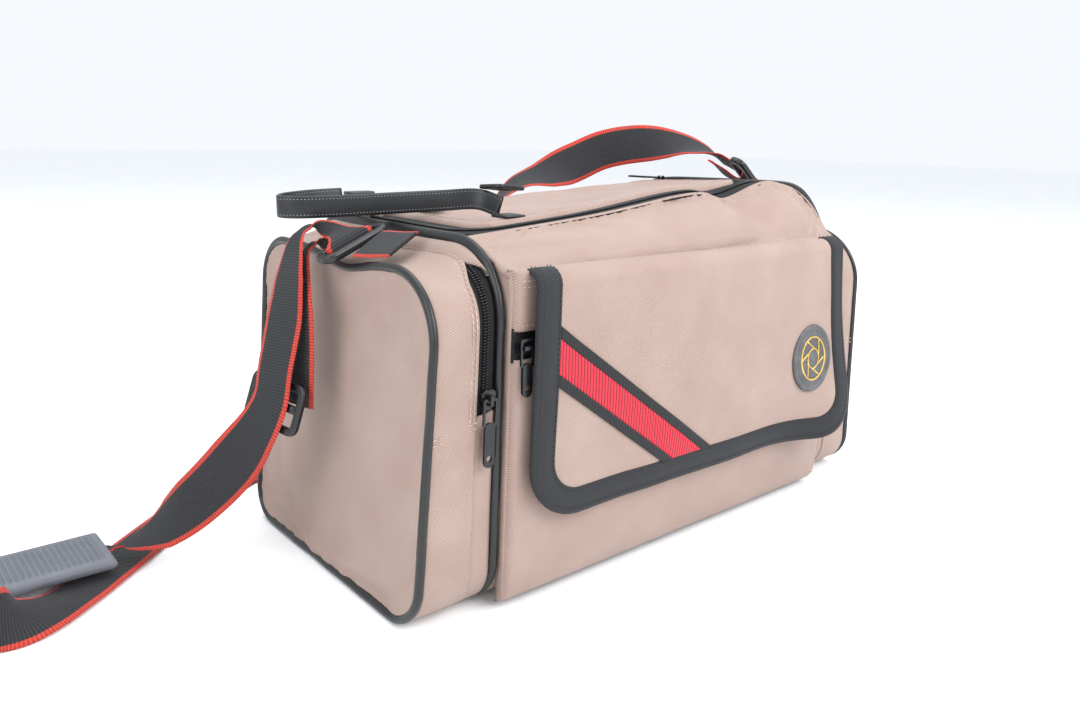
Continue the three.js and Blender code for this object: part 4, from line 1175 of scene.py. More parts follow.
@dataclass
class MainZip:
    """The U-shaped main zip: both tapes, both rows of teeth, the slider and its pull."""

    line: float = 128.0
    front_y: float = -44.0
    start_y: float = 56.0
    corner: float = 22.0

    def run(self) -> tuple[np.ndarray, np.ndarray]:
        """The zip's middle line in plan, and its outward direction."""
        points, outs = [], []
        bend = self.front_y + self.corner
        for y in np.linspace(self.start_y, bend, 24)[:-1]:
            points.append((-self.line, y))
            outs.append((-1, 0))
        for cx, start in ((-self.line + self.corner, 180), (self.line - self.corner, 270)):
            for angle in np.radians(np.linspace(start, start + 90, 17)):
                points.append((cx + self.corner * math.cos(angle), bend + self.corner * math.sin(angle)))
                outs.append((math.cos(angle), math.sin(angle)))
            if cx < 0:
                for x in np.linspace(cx, -cx, 62)[1:-1]:
                    points.append((x, self.front_y))
                    outs.append((0, -1))
        for y in np.linspace(bend, self.start_y, 24)[1:]:
            points.append((self.line, y))
            outs.append((1, 0))
        return np.array(points, float), np.array(outs, float)

    def strip(
        self, name: str, near: np.ndarray | float, far: np.ndarray | float, off: float, rows: slice
    ) -> Piece:
        """A tape between two distances from the zip's middle line."""
        points, outs = (a[rows] for a in self.run())
        near, far = (np.broadcast_to(v, len(points)) if np.ndim(v) == 0 else v[rows] for v in (near, far))
        share = np.linspace(0, 1, 7)[None, :]
        side = near[:, None] + (far - near)[:, None] * share
        plan = points[:, None, :] + outs[:, None, :] * side[..., None]
        grid = np.concatenate([plan, np.full(plan.shape[:2] + (1,), BAG.height + off)], axis=-1)
        step = np.linalg.norm(np.diff(points, axis=0), axis=1)
        along = np.concatenate([[0], np.cumsum(step)])[:, None] + 0 * share
        placed = stuffed(grid)
        flip = grid_normals(placed)[len(points) // 2, 3, 2] < 0
        return cloth_piece(name, placed, np.stack([side, along], axis=-1), 0.9, flip=bool(flip))

    def teeth(self, name: str, side: float, rows: slice) -> Piece:
        """A row of teeth at one side of the middle line."""
        points, outs = (a[rows] for a in self.run())
        plan = points + outs * side
        grid = np.concatenate([plan, np.full((len(plan), 1), BAG.height - 0.5)], axis=-1)
        return COIL_TOOTH.lay(name, [(stuffed(grid), np.tile([0.0, 0.0, 1.0], (len(grid), 1)))])

    def build(self) -> None:
        """Builds the zip."""
        _, outs = self.run()
        outer = 14.6 + (12.2 - 14.6) * np.abs(outs[:, 1])
        whole = slice(None)
        lid_part = slice(3, -8)
        body_tape = dress(self.strip("body_zip_tape_cloth", 1.0, outer, -1.1, whole), TAPE, TAPE)
        settle_in(body_tape, "body", ["body_zip_tape"])
        lid_tape = dress(self.strip("lid_zip_tape_cloth", -10.4, -1.0, -1.1, lid_part), TAPE, TAPE)
        settle_in(lid_tape, "lid", ["lid_zip_tape"])
        settle_in(self.teeth("body_zip_teeth", 1.05, whole), "body", ["body_zip_coil"])
        settle_in(self.teeth("lid_zip_teeth", -1.05, lid_part), "lid", ["lid_zip_coil"])
        for name in ("main_slider", "main_pull"):
            dress(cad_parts[name], ZIP_METAL)


@dataclass
class Lid:
    """The zipped lid, in one cloth with the strip that hinges it."""

    half: float = 118.0
    front: float = -36.0
    back: float = 65.6
    corner: float = 15.0
    edge: float = 4.0

    def width_at(self, y: np.ndarray) -> np.ndarray:
        """Half the lid's width at each y, with its rounded front corners."""
        short = np.clip(self.corner - (y - self.front), 0, self.corner)
        return self.half - (self.corner - np.sqrt(self.corner**2 - short**2))

    def build(self) -> None:
        """Builds the lid's cloth and its top stitching."""
        y = np.concatenate([self.front + 15 * np.linspace(0, 1, 16) ** 1.7, np.linspace(-21, self.back, 40)[1:]])
        f = ends_dense(-1, 1, 97, 0.7)[None, :]
        half = self.width_at(y)[:, None]
        x = half * f
        inward = np.minimum(half - np.abs(x), (y - self.front)[:, None])
        roll = ease(inward, self.edge)
        lip = np.exp(-(((inward - 3.5) / 2.5) ** 2)) * 0.7
        z = BAG.height - 2.6 + 3.6 * roll + lip
        grid = np.stack(np.broadcast_arrays(x, y[:, None], z), axis=-1)
        placed = stuffed(grid)
        inside = smooth_step(6, 30, inward)
        placed[..., 2] += (wrinkle(placed, 44, 2.3) * 1.1 + wrinkle(placed, 15, 9.1) * 0.3) * inside
        pinned = inward < 9
        pinned[-6:, :] = True
        placed = relax_cloth(placed, pinned, 0.5, 0.008, 4.0)
        uv = np.stack(np.broadcast_arrays(x, y[:, None]), axis=-1)
        flip = grid_normals(placed)[20, 40, 2] < 0
        piece = dress(cloth_piece("lid_cloth", placed, uv, 2.4, flip=bool(flip)), TWILL, LINING)
        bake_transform(piece, "lid", "body", start=(0, 0.0555, 0.198), end=(0, 0.065, 0.198))
        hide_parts("lid_panel")
        LOG.info("%s bends at the lid's hinge", piece.name)
        self.stitches()

    def stitches(self) -> None:
        """One row of stitches round the lid, a hem's width inside its edge."""
        inset = 7.0
        path = [(-self.half + inset, y) for y in np.linspace(52, self.front + self.corner, 30)]
        centre, bend, round_ = self.half - self.corner, self.front + self.corner, self.corner - inset
        for middle, start in ((-centre, 180), (centre, 270)):
            for angle in np.radians(np.linspace(start, start + 90, 8)):
                path.append((middle + round_ * math.cos(angle), bend + round_ * math.sin(angle)))
        path += [(self.half - inset, y) for y in np.linspace(self.front + self.corner, 52, 30)]
        plan = np.array(path)
        grid = np.concatenate([plan, np.full((len(plan), 1), BAG.height + 1.7)], axis=-1)
        row = SEAM_STITCH.lay("lid_stitches", [(stuffed(grid), np.tile([0.0, 0.0, 1.0], (len(grid), 1)))])
        settle_in(row, "lid")


@dataclass
class EndPocket:
    """An end pocket: its gusset, zip, end panel and piping."""

    side: int
    name: str
    inner: float = 148.0
    slot: float = 160.3
    outer: float = 188.9
    zip_z: float = 110.0

    def build(self) -> None:
        """Builds every piece of the pocket."""
        self.gusset()
        self.zip()
        self.panel()
        tube = piping(f"{self.name}_pocket_piping_cord", self.side * BAG.end_seam, -0.6)
        settle_in(dress(tube, PIPING), "body", [f"{self.name}_pocket_piping"])
        for part in ("slider", "pull"):
            dress(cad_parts[f"{self.name}_pocket_{part}"], ZIP_METAL)

    @property
    def low_front(self) -> float:
        """Distance along the outline where the zip ends at the front."""
        return 59.69 + 152.0 - self.zip_z

    @property
    def low_back(self) -> float:
        """Distance along the outline where the zip ends at the back."""
        return 397.95 + self.zip_z - 20.0

    def covered(self, along: np.ndarray) -> np.ndarray:
        """1 where the cloth folds shut over the zip, on the top, and 0 down the front and back."""
        place = np.mod(along + 200, BAG.girth) - 200
        return smooth_step(-160, -140, place) * (1 - smooth_step(12, 34, place))

    def flipped(self, grid: np.ndarray) -> bool:
        """Whether a grid's own normals point into the bag."""
        middle = grid[grid.shape[0] // 3, grid.shape[1] // 2]
        normal = grid_normals(grid)[grid.shape[0] // 3, grid.shape[1] // 2]
        return bool(normal @ (middle - np.array([middle[0], 0, 95])) < 0)

    def gusset(self) -> None:
        """The cloth round the pocket's depth, with a double-stitched hem along the zip."""
        along = 290 + np.linspace(0, BAG.girth, 281)[:-1]
        lip = self.slot - 6.8 * self.covered(along)
        share = np.linspace(0, 1, 26)[None, :]
        x = self.side * (lip[:, None] + (self.outer - lip[:, None]) * share)
        puff = np.sin(math.pi * share) * (1.6 + 1.2 * self.covered(along)[:, None])
        hem = np.exp(-(((np.abs(x) - lip[:, None]) / 1.6) ** 2)) * 0.5
        place = np.mod(along, BAG.girth)
        off_floor = 1 - (smooth_step(180, 215, place) * (1 - smooth_step(375, 405, place)))[:, None]
        points, uv = outline_cloth(along[:, None], x, (puff + hem) * off_floor)
        placed = stuffed(points)
        crease = wrinkle(placed * np.array([0.5, 1, 1]), 16, 4.4 + self.side)
        normal = grid_normals(placed, True) * (-1 if self.flipped(placed) else 1)
        placed = placed + normal * (crease * off_floor * np.sin(math.pi * share) * 1.1)[..., None]
        flip = self.flipped(placed)
        piece = cloth_piece(f"{self.name}_gusset_cloth", placed, uv, 2.0, closed=True, flip=flip)
        dress(piece, TWILL, LINING)
        settle_in(piece, "body", [f"{self.name}_pocket_gusset"])
        low = np.linspace(self.low_front, self.low_back, 150)
        x = self.side * np.linspace(self.inner, self.slot + 1.0, 8)
        points, uv = outline_cloth(low[:, None], x[None, :], -0.25)
        placed = stuffed(points)
        lower = cloth_piece(f"{self.name}_gusset_lower_cloth", placed, uv, 1.6, flip=self.flipped(placed))
        settle_in(dress(lower, TWILL, LINING), "body")
        over = np.linspace(-150.0, 34.0, 110)
        share = np.linspace(0, 1, 8)[None, :]
        reach = self.inner + 8.0 * self.covered(over)[:, None] * share
        points, uv = outline_cloth(over[:, None], self.side * reach, 0.2 + 1.2 * np.sin(math.pi * share))
        placed = stuffed(points)
        inner = cloth_piece(f"{self.name}_gusset_inner_cloth", placed, uv, 1.4, flip=self.flipped(placed))
        settle_in(dress(inner, TWILL, LINING), "body")
        lines = []
        top = np.linspace(self.low_back - BAG.girth, self.low_front, 200)
        for inset in (2.2, 5.0):
            edge = self.slot - 6.8 * self.covered(top) + inset
            lines.append(self.stitch_line(top, self.side * edge, 1.0))
        for below in (2.0, 5.0):
            across = self.side * np.linspace(self.slot + 1, self.outer - 1, 20)
            lines.append(self.stitch_line(np.full(20, self.low_front + below), across, 1.0))
        rows = SEAM_STITCH.lay(f"{self.name}_gusset_stitches", lines)
        settle_in(rows, "body")

    def stitch_line(self, along: np.ndarray, across: np.ndarray, out: float) -> tuple[np.ndarray, np.ndarray]:
        """A line over the outline with its outward directions."""
        y, z, ny, nz = BAG.profile(along)
        low = np.stack([across, y + ny * out, z + nz * out], axis=-1)
        high = np.stack([across, y + ny * (out + 1), z + nz * (out + 1)], axis=-1)
        placed = stuffed(low)
        return placed, unit(stuffed(high) - placed)

    def zip(self) -> None:
        """Tape and teeth from the front, over the top and down the back."""
        top = np.linspace(self.low_back - BAG.girth + 0.5, self.low_front - 0.5, 200)
        points, uv = outline_cloth(top[:, None], (self.side * np.linspace(147.6, 161.5, 9))[None, :], -1.5)
        uv = uv - np.array([self.side * 154.3, 0.0])
        placed = stuffed(points)
        tape = cloth_piece(f"{self.name}_zip_tape_cloth", placed, uv, 0.9, flip=self.flipped(placed))
        settle_in(dress(tape, TAPE, TAPE), "body", [f"{self.name}_pocket_zip_tape"])
        lines = [self.stitch_line(top, np.full(200, self.side * (154.3 + step)), -0.6) for step in (-1.1, 1.1)]
        teeth = COIL_TOOTH.lay(f"{self.name}_zip_teeth", lines)
        settle_in(teeth, "body", [f"{self.name}_pocket_zip_coil"])

    def panel(self) -> None:
        """The end panel, a little bellied between its seams."""
        grid, uv = end_panel(self.side * (BAG.end_seam + 0.6), 0.9)
        placed = stuffed(grid)
        y, z = grid[..., 1] / BAG.half, (grid[..., 2] - 95) / 95
        belly = (1 - np.abs(y) ** 2.6) * (1 - np.abs(z) ** 2.6)
        soft = wrinkle(placed, 60, 6.6 + self.side) * 1.4 + wrinkle(placed, 22, 2.9) * 0.3
        placed[..., 0] += self.side * (belly * 3.2 + soft * np.clip(belly * 3, 0, 1))
        pinned = np.zeros(placed.shape[:2], bool)
        pinned[[0, 1, -2, -1], :] = True
        pinned[:, [0, 1, -2, -1]] = True
        placed = relax_cloth(placed, pinned, self.push(placed), 0.006, 4.0)
        normal = grid_normals(placed)[20, 20]
        flip = bool(normal[0] * self.side < 0)
        piece = dress(cloth_piece(f"{self.name}_panel_cloth", placed, uv, 2.0, flip=flip), TWILL, LINING)
        settle_in(piece, "body", [f"{self.name}_pocket_panel"])

    def push(self, grid: np.ndarray) -> float:
        """The stuffing's pressure, with the sign that pushes the panel outwards."""
        normal = grid_normals(grid)[20, 20]
        return 0.4 if normal[0] * self.side > 0 else -0.4


@dataclass
class FrontPocket:
    """The shallow front pocket: panel, top strip and zip."""

    end: float = 142.4
    face: float = -101.0
    back: float = -93.3
    low: float = 4.0
    zip_low: float = 135.0
    zip_high: float = 149.0
    top: float = 178.5

    def build(self) -> None:
        """Builds every piece of the front pocket."""
        self.panel()
        self.strip()
        self.zip()
        for name in ("front_slider", "front_pull"):
            dress(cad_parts[name], ZIP_METAL)

    def sheet(self, x: np.ndarray, z: np.ndarray, bulge: np.ndarray | float, base: float = 0.0) -> np.ndarray:
        """A face of the pocket, rounded back at its ends and at its foot."""
        ends = ease(self.end - np.abs(x), 5.0)[None, :]
        foot = ease(z - self.low, base)[:, None] if base else np.ones((len(z), 1))
        y = self.back + (self.face - self.back) * ends * foot - bulge
        return np.stack(np.broadcast_arrays(x[None, :], y, z[:, None]), axis=-1)

    def panel(self) -> None:
        """The main front panel, full at its middle."""
        x = ends_dense(-self.end, self.end, 111, 0.6)
        z = self.low + (self.zip_low - self.low) * np.linspace(0, 1, 60) ** 1.3
        inner = (1 - np.abs(x / self.end) ** 6)[None, :] * np.sin(math.pi * np.clip((z - 4) / 150, 0, 1))[:, None]
        grid = self.sheet(x, z, 3.0 * inner, 16.0)
        placed = BAG.settle(grid)
        soft = wrinkle(placed, 55, 8.2) * 1.3 + wrinkle(placed, 20, 4.9) * 0.35
        placed[..., 1] -= soft * np.clip(inner * 2, 0, 1)
        uv = np.stack(np.broadcast_arrays(x[None, :], z[:, None]), axis=-1)
        piece = dress(cloth_piece("front_pocket_cloth", placed, uv, 1.8, flip=self.faces_back(placed)), TWILL, LINING)
        settle_in(piece, "body", ["front_pocket_panel"])
        line = BAG.settle(self.sheet(np.linspace(-138, 138, 80), np.array([self.zip_low - 3.0]), 0.6))[0]
        row = SEAM_STITCH.lay("front_pocket_stitches", [(line, np.tile([0.0, -1.0, 0.0], (80, 1)))])
        settle_in(row, "body")

    def faces_back(self, grid: np.ndarray) -> bool:
        """Whether a grid's own normals point into the bag."""
        return bool(grid_normals(grid)[grid.shape[0] // 2, grid.shape[1] // 2, 1] > 0)

    def strip(self) -> None:
        """The hemmed strip over the zip, turned back at its top seam."""
        x = ends_dense(-self.end, self.end, 91, 0.6)
        z = np.linspace(self.zip_high, self.top - 0.4, 18)
        lower = self.sheet(x, z, 0.4)
        over = []
        for share in (0.35, 0.7, 1.0):
            row = lower[-1].copy()
            row[:, 1] += (self.back - 0.3 - row[:, 1]) * share
            row[:, 2] = self.top - 0.1 * share
            over.append(row)
        placed = BAG.settle(np.concatenate([lower, np.array(over)]))
        uv = placed[..., [0, 2]].copy()
        piece = dress(cloth_piece("front_strip_cloth", placed, uv, 1.8, flip=self.faces_back(placed)), TWILL, LINING)
        settle_in(piece, "body", ["front_pocket_top_strip"])
        rows = []
        for height in (self.zip_high + 3, self.top - 5, self.top - 8):
            line = BAG.settle(self.sheet(np.linspace(-138, 138, 80), np.array([height]), 0.8))[0]
            rows.append((line, np.tile([0.0, -1.0, 0.0], (80, 1))))
        settle_in(SEAM_STITCH.lay("front_strip_stitches", rows), "body")

    def zip(self) -> None:
        """Tape and teeth across the front."""
        x = np.linspace(-self.end + 0.5, self.end - 0.5, 60)
        z = np.linspace(self.zip_low - 1.5, self.zip_high + 1.5, 7)
        grid = np.stack(np.broadcast_arrays(x[None, :], self.face + 2.2, z[:, None]), axis=-1)
        uv = np.stack(np.broadcast_arrays((z - 142)[:, None], x[None, :]), axis=-1)
        placed = BAG.settle(grid)
        tape = cloth_piece("front_zip_tape_cloth", placed, uv, 0.9, flip=self.faces_back(placed))
        settle_in(dress(tape, TAPE, TAPE), "body", ["front_zip_tape"])
        lines = []
        for step in (-1.1, 1.1):
            line = np.stack(np.broadcast_arrays(np.linspace(-141, 141, 60), self.face + 0.6, 142 + step), axis=-1)
            lines.append((BAG.settle(line), np.tile([0.0, -1.0, 0.0], (60, 1))))
        teeth = COIL_TOOTH.lay("front_zip_teeth", lines)
        settle_in(teeth, "body", ["front_zip_coil"])


@dataclass
class Flap:
    """The loose flap over the front pocket, with its bound edge, slanting band and badge."""

    half: float = 134.0
    top: float = 176.0
    bottom: float = 50.0
    corner: float = 32.0
    binding: float = 14.0
    near: float = -109.1
    badge: tuple[float, float] = (98.0, 104.0)
    band_middle: float = 50.6  # height of the band's middle line at the middle of the bag
    band_fall: float = 0.71  # how far that line falls for each millimetre to the right
    table: np.ndarray = field(init=False, repr=False)

    def __post_init__(self) -> None:
        """Lays out the flap's side view: back from its seam, over the fold and down."""
        rows = [(-96.4, 177.4, -0.2, 1.0), (-99.0, 178.3, -0.1, 1.0)]
        for angle in np.radians(np.linspace(0, 90, 10)):
            s, c = math.sin(angle), math.cos(angle)
            rows.append((self.near + 7.5 - 7.5 * s, 171.1 + 7.5 * c, -s, c))
        rows.append((self.near, self.bottom - 20, -1.0, 0.0))
        table = np.array(rows)
        step = np.hypot(*np.diff(table[:, :2], axis=0).T)
        self.table = np.column_stack([np.concatenate([[0], np.cumsum(step)]), table])

    def down(self, z: np.ndarray | float) -> np.ndarray:
        """Distance from the seam to a height on the hanging part."""
        return self.table[-1, 0] - (np.asarray(z, float) - (self.bottom - 20))

    def surface(self, x: np.ndarray, s: np.ndarray, off: np.ndarray | float = 0.0) -> np.ndarray:
        """Settled points on the flap, or a little off it.

        Args:
            x: Positions across.
            s: Distances down from the seam.
            off: How far the points stand off the cloth.

        Returns:
            The points.
        """
        x, s, off = np.broadcast_arrays(np.asarray(x, float), np.asarray(s, float), off)
        y, z, ny, nz = (np.interp(s, self.table[:, 0], self.table[:, k]) for k in (1, 2, 3, 4))
        fall = np.clip((self.top - z) / (self.top - self.bottom), 0, 1.1)
        flare = 20 * smooth_step(0, 1, (x - 40) / 90) ** 2 * fall**1.4
        belly = 3.4 * (1 - np.clip(np.abs(x) / self.half, 0, 1) ** 3) * np.sin(math.pi * np.clip(fall, 0, 1)) ** 0.8
        wave = 1.6 * np.sin(x / 34 + 1.2) * fall**1.3
        points = np.stack([x, y + ny * off, z + nz * off], axis=-1)
        settled = BAG.settle(points)
        soft = wrinkle(BAG.settle(np.stack([x, y, z], axis=-1)), 42, 5.5) * 1.6 * np.clip(fall * 4, 0, 1)
        settled[..., 1] -= flare + belly + np.maximum(wave, -1.0) + np.maximum(soft, -1.2)
        return settled

    def half_at(self, z: np.ndarray, inset: float = 0.0) -> np.ndarray:
        """Half the flap's width at each height, inside an inset."""
        round_ = self.corner - inset
        short = np.clip(round_ - (z - self.bottom - inset), 0, round_)
        return self.half - inset - (round_ - np.sqrt(np.maximum(round_**2 - short**2, 0)))

    def faces_back(self, grid: np.ndarray) -> bool:
        """Whether a grid's own normals point towards the bag."""
        return bool(grid_normals(grid)[grid.shape[0] // 2, grid.shape[1] // 2, 1] > 0)

    def hang(self, piece: Piece, nodes: Sequence[str]) -> None:
        """Bends a piece of the flap about the flap's seam."""
        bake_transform(piece, "body", "flap", start=(0, -0.1045, 0.1785), end=(0, -0.1095, 0.170))
        if nodes:
            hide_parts(*nodes)

    def build(self) -> None:
        """Builds every piece of the flap."""
        inset = 9.0
        foot = self.bottom + inset
        low = foot + (84 - foot) * (1 - np.linspace(0, 1, 22)[1:]) ** 1.6
        z = np.concatenate([np.linspace(170, 84, 44), low])
        s = np.concatenate([self.table[:-1, 0], self.down(z)])
        heights = np.concatenate([np.full(len(self.table) - 1, 170.0), z])
        x = self.half_at(heights, inset)[:, None] * ends_dense(-1, 1, 101, 0.5)[None, :]
        grid = self.surface(x, s[:, None])
        uv = np.stack(np.broadcast_arrays(x, -s[:, None]), axis=-1)
        panel = dress(cloth_piece("flap_cloth", grid, uv, 2.0, flip=self.faces_back(grid)), TWILL, LINING)
        self.hang(panel, ["flap_panel"])
        self.edge_binding()
        self.bands()
        self.medallion()

    def edge_binding(self) -> None:
        """Herringbone tape folded round both sides and the foot, with its stitches."""
        sides = np.concatenate([self.table[1:-1, 0], self.down(np.linspace(168, 84, 24))])
        path = [(-self.half, s, 1.0, 0.0) for s in sides]
        low = float(self.down(self.bottom + self.corner))
        centre = self.half - self.corner
        for angle in np.radians(np.linspace(0, 90, 18)):
            c, s = math.cos(angle), math.sin(angle)
            path.append((-centre - self.corner * c, low + self.corner * s, c, -s))
        path += [(x, low + self.corner, 0.0, -1.0) for x in np.linspace(-centre, centre, 60)[1:-1]]
        path += [(-x, s, -ix, iz) for x, s, ix, iz in reversed(path[: -58])]
        run = np.array(path)
        loop = [
            (14, 0.25), (13.4, 0.8), (7, 0.9), (1.2, 0.85), (-0.7, 0.3), (-1.0, -1.0),
            (-0.7, -2.3), (1.2, -2.85), (7, -2.9), (13.4, -2.8), (14, -2.2), (13.6, -1.0),
        ]
        insets = np.array([a for a, _ in loop])[None, :]
        offs = np.array([b for _, b in loop])[None, :]
        x = run[:, :1] + run[:, 2:3] * insets
        s = run[:, 1:2] + run[:, 3:4] * insets
        points = self.surface(x, s, offs)
        step = np.linalg.norm(np.diff(self.surface(run[:, 0], run[:, 1]), axis=0), axis=1)
        along = np.concatenate([[0], np.cumsum(step)])[:, None]
        uv = np.stack(np.broadcast_arrays(insets - 7, along), axis=-1)
        tape = dress(mesh_piece("flap_binding_tape", points, ring_faces(len(run), len(loop), False), uv), BINDING)
        self.hang(tape, ["flap_binding"])
        lines = []
        for inset in (2.2, 12.4):
            line = self.surface(run[:, 0] + run[:, 2] * inset, run[:, 1] + run[:, 3] * inset, 1.0)
            lines.append((line, np.tile([0.0, -1.0, 0.0], (len(line), 1))))
        stitches = BINDING_STITCH.lay("flap_binding_stitches", lines)
        self.hang(stitches, [])

    def bands(self) -> None:
        """The red band and its two black edgings, ending under the binding."""
        x = np.linspace(-125, 125, 400)
        for name, low, high, finish, lift, slot in (
            ("flap_red_band", -9.6, 9.6, RED_WEB, 0.75, "red_webbing"),
            ("flap_band_edging_upper", 9.0, 15.3, BLACK_WEB, 0.95, "black_webbing"),
            ("flap_band_edging_lower", -15.3, -9.0, BLACK_WEB, 0.95, "black_webbing"),
        ):
            columns = []
            offs = np.linspace(low, high, 9)
            for off in offs:
                z = self.band_middle - self.band_fall * x + off
                tuck = self.binding - 1
                inside = (np.abs(x) <= self.half_at(z, tuck)) & (z >= self.bottom + tuck) & (z < 168)
                reach = x[inside]
                columns.append(np.linspace(reach.min(), reach.max(), 70))
            across = np.stack(columns, axis=1)
            z = self.band_middle - self.band_fall * across + offs[None, :]
            grid = self.surface(across, self.down(z), lift)
            uv = np.stack(np.broadcast_arrays(offs[None, :] * 0.815, across * 1.226), axis=-1)
            band = dress(cloth_piece(name + "_web", grid, uv, 0.9, flip=self.faces_back(grid)), finish, finish)
            self.hang(band, [name])

    def medallion(self) -> None:
        """An oval moulded badge with a grooved rim and a plain gilt ring of petals."""
        place = self.surface(np.array([self.badge[0]]), self.down(np.array([self.badge[1]])), 0.0)[0]
        side = self.surface(np.array([self.badge[0] + 8]), self.down(np.array([self.badge[1]])), 0.0)[0]
        up = self.surface(np.array([self.badge[0]]), self.down(np.array([self.badge[1] + 8])), 0.0)[0]
        face = placement(place, side - place, np.cross(side - place, up - place))
        turn = np.linspace(0, 2 * math.pi, 72, endpoint=False)
        rings = [
            (1.0, -0.9), (1.0, 0.9), (0.985, 1.6), (0.95, 2.0), (0.86, 2.0),
            (0.84, 1.5), (0.80, 1.5), (0.78, 1.9), (0.4, 2.05), (0.02, 2.1),
        ]
        points = np.array([[(18 * r * math.cos(a), 22 * r * math.sin(a), h) for a in turn] for r, h in rings])
        badge = mesh_piece("flap_badge_oval", moved(points, face), ring_faces(len(rings), 72, False))
        settle_in(dress(badge, BADGE_RUBBER), "flap", ["flap_badge"])
        pieces = []
        for a, b, wide in ((11.0, 14.0, 1.1), (5.0, 6.4, 0.8)):
            origin = np.array([(a * math.cos(t), b * math.sin(t), 2.0) for t in turn])
            out = unit(np.array([(b * math.cos(t), a * math.sin(t), 0.0) for t in turn]))
            route = Route(moved(origin, face), np.tile(face[:3, 2], (72, 1)), out @ face[:3, :3].T)
            section = rounded_section(0.9, wide, 0.3)
            pieces.append(swept_piece(f"emblem_ring_{len(pieces)}", route, section, closed=True))
        for k in range(6):
            angle = math.radians(60 * k + 20)
            start = np.array([5.2 * math.cos(angle), 6.6 * math.sin(angle), 2.1])
            end = np.array([10.6 * math.cos(angle + 0.75), 13.4 * math.sin(angle + 0.75), 2.1])
            line = start + (end - start) * np.linspace(0, 1, 5)[:, None]
            away = unit(np.cross([0, 0, 1], end - start))
            route = Route(moved(line, face), np.tile(face[:3, 2], (5, 1)), np.tile(away @ face[:3, :3].T, (5, 1)))
            pieces.append(swept_piece(f"emblem_petal_{k}", route, rounded_section(0.8, 0.9, 0.25)))
        emblem = dress(join_pieces("flap_emblem_gilt", pieces), GILT)
        settle_in(emblem, "flap", ["flap_emblem"])


def webbing_piece(name: str, route: Route, half: np.ndarray, thick: float, finish: Finish) -> Piece:
    """A piece of webbing along a route, of a half width that may change."""
    columns = np.linspace(-1, 1, 13)
    edge = np.sqrt(np.maximum(1 - np.abs(columns) ** 14, 0.12))
    loop = [(c, e) for c, e in zip(columns, edge)] + [(c, -e) for c, e in zip(columns[::-1], edge[::-1])]
    side = np.array([c for c, _ in loop])
    off = np.array([e for _, e in loop]) * thick / 2
    points = (
        route.origin[:, None, :]
        + route.across[:, None, :] * (side[None, :, None] * half[:, None, None])
        + route.out[:, None, :] * off[None, :, None]
    )
    uv = np.stack(np.broadcast_arrays(side[None, :] * half.max(), route.length[:, None]), axis=-1)
    return dress(mesh_piece(name, points, ring_faces(len(points), len(loop), False), uv), finish)


def gathered(route: Route, half: float, limit: float = 0.3) -> np.ndarray:
    """The half width of webbing at each step, narrowed where it twists sharply."""
    count = len(route.origin)
    after, before = np.minimum(np.arange(count) + 1, count - 1), np.maximum(np.arange(count) - 1, 0)
    step = route.origin[after] - route.origin[before]
    turn = route.across[after] - route.across[before]
    length = np.linalg.norm(step, axis=1)
    room = limit * length / np.maximum(np.abs(np.sum(turn * step, axis=1)) / length, 1e-6)
    least = np.array([min(half, room[max(i - 3, 0) : i + 4].min()) for i in range(count)])
    return np.array([least[max(i - 2, 0) : i + 3].mean() for i in range(count)])


def relative(base: Sequence[float], stops: Sequence[Sequence[float]]) -> list[list[float]]:
    """Stops given from a base point."""
    return [[s[0] + base[0], s[1] + base[1], s[2] + base[2], *s[3:]] for s in stops]


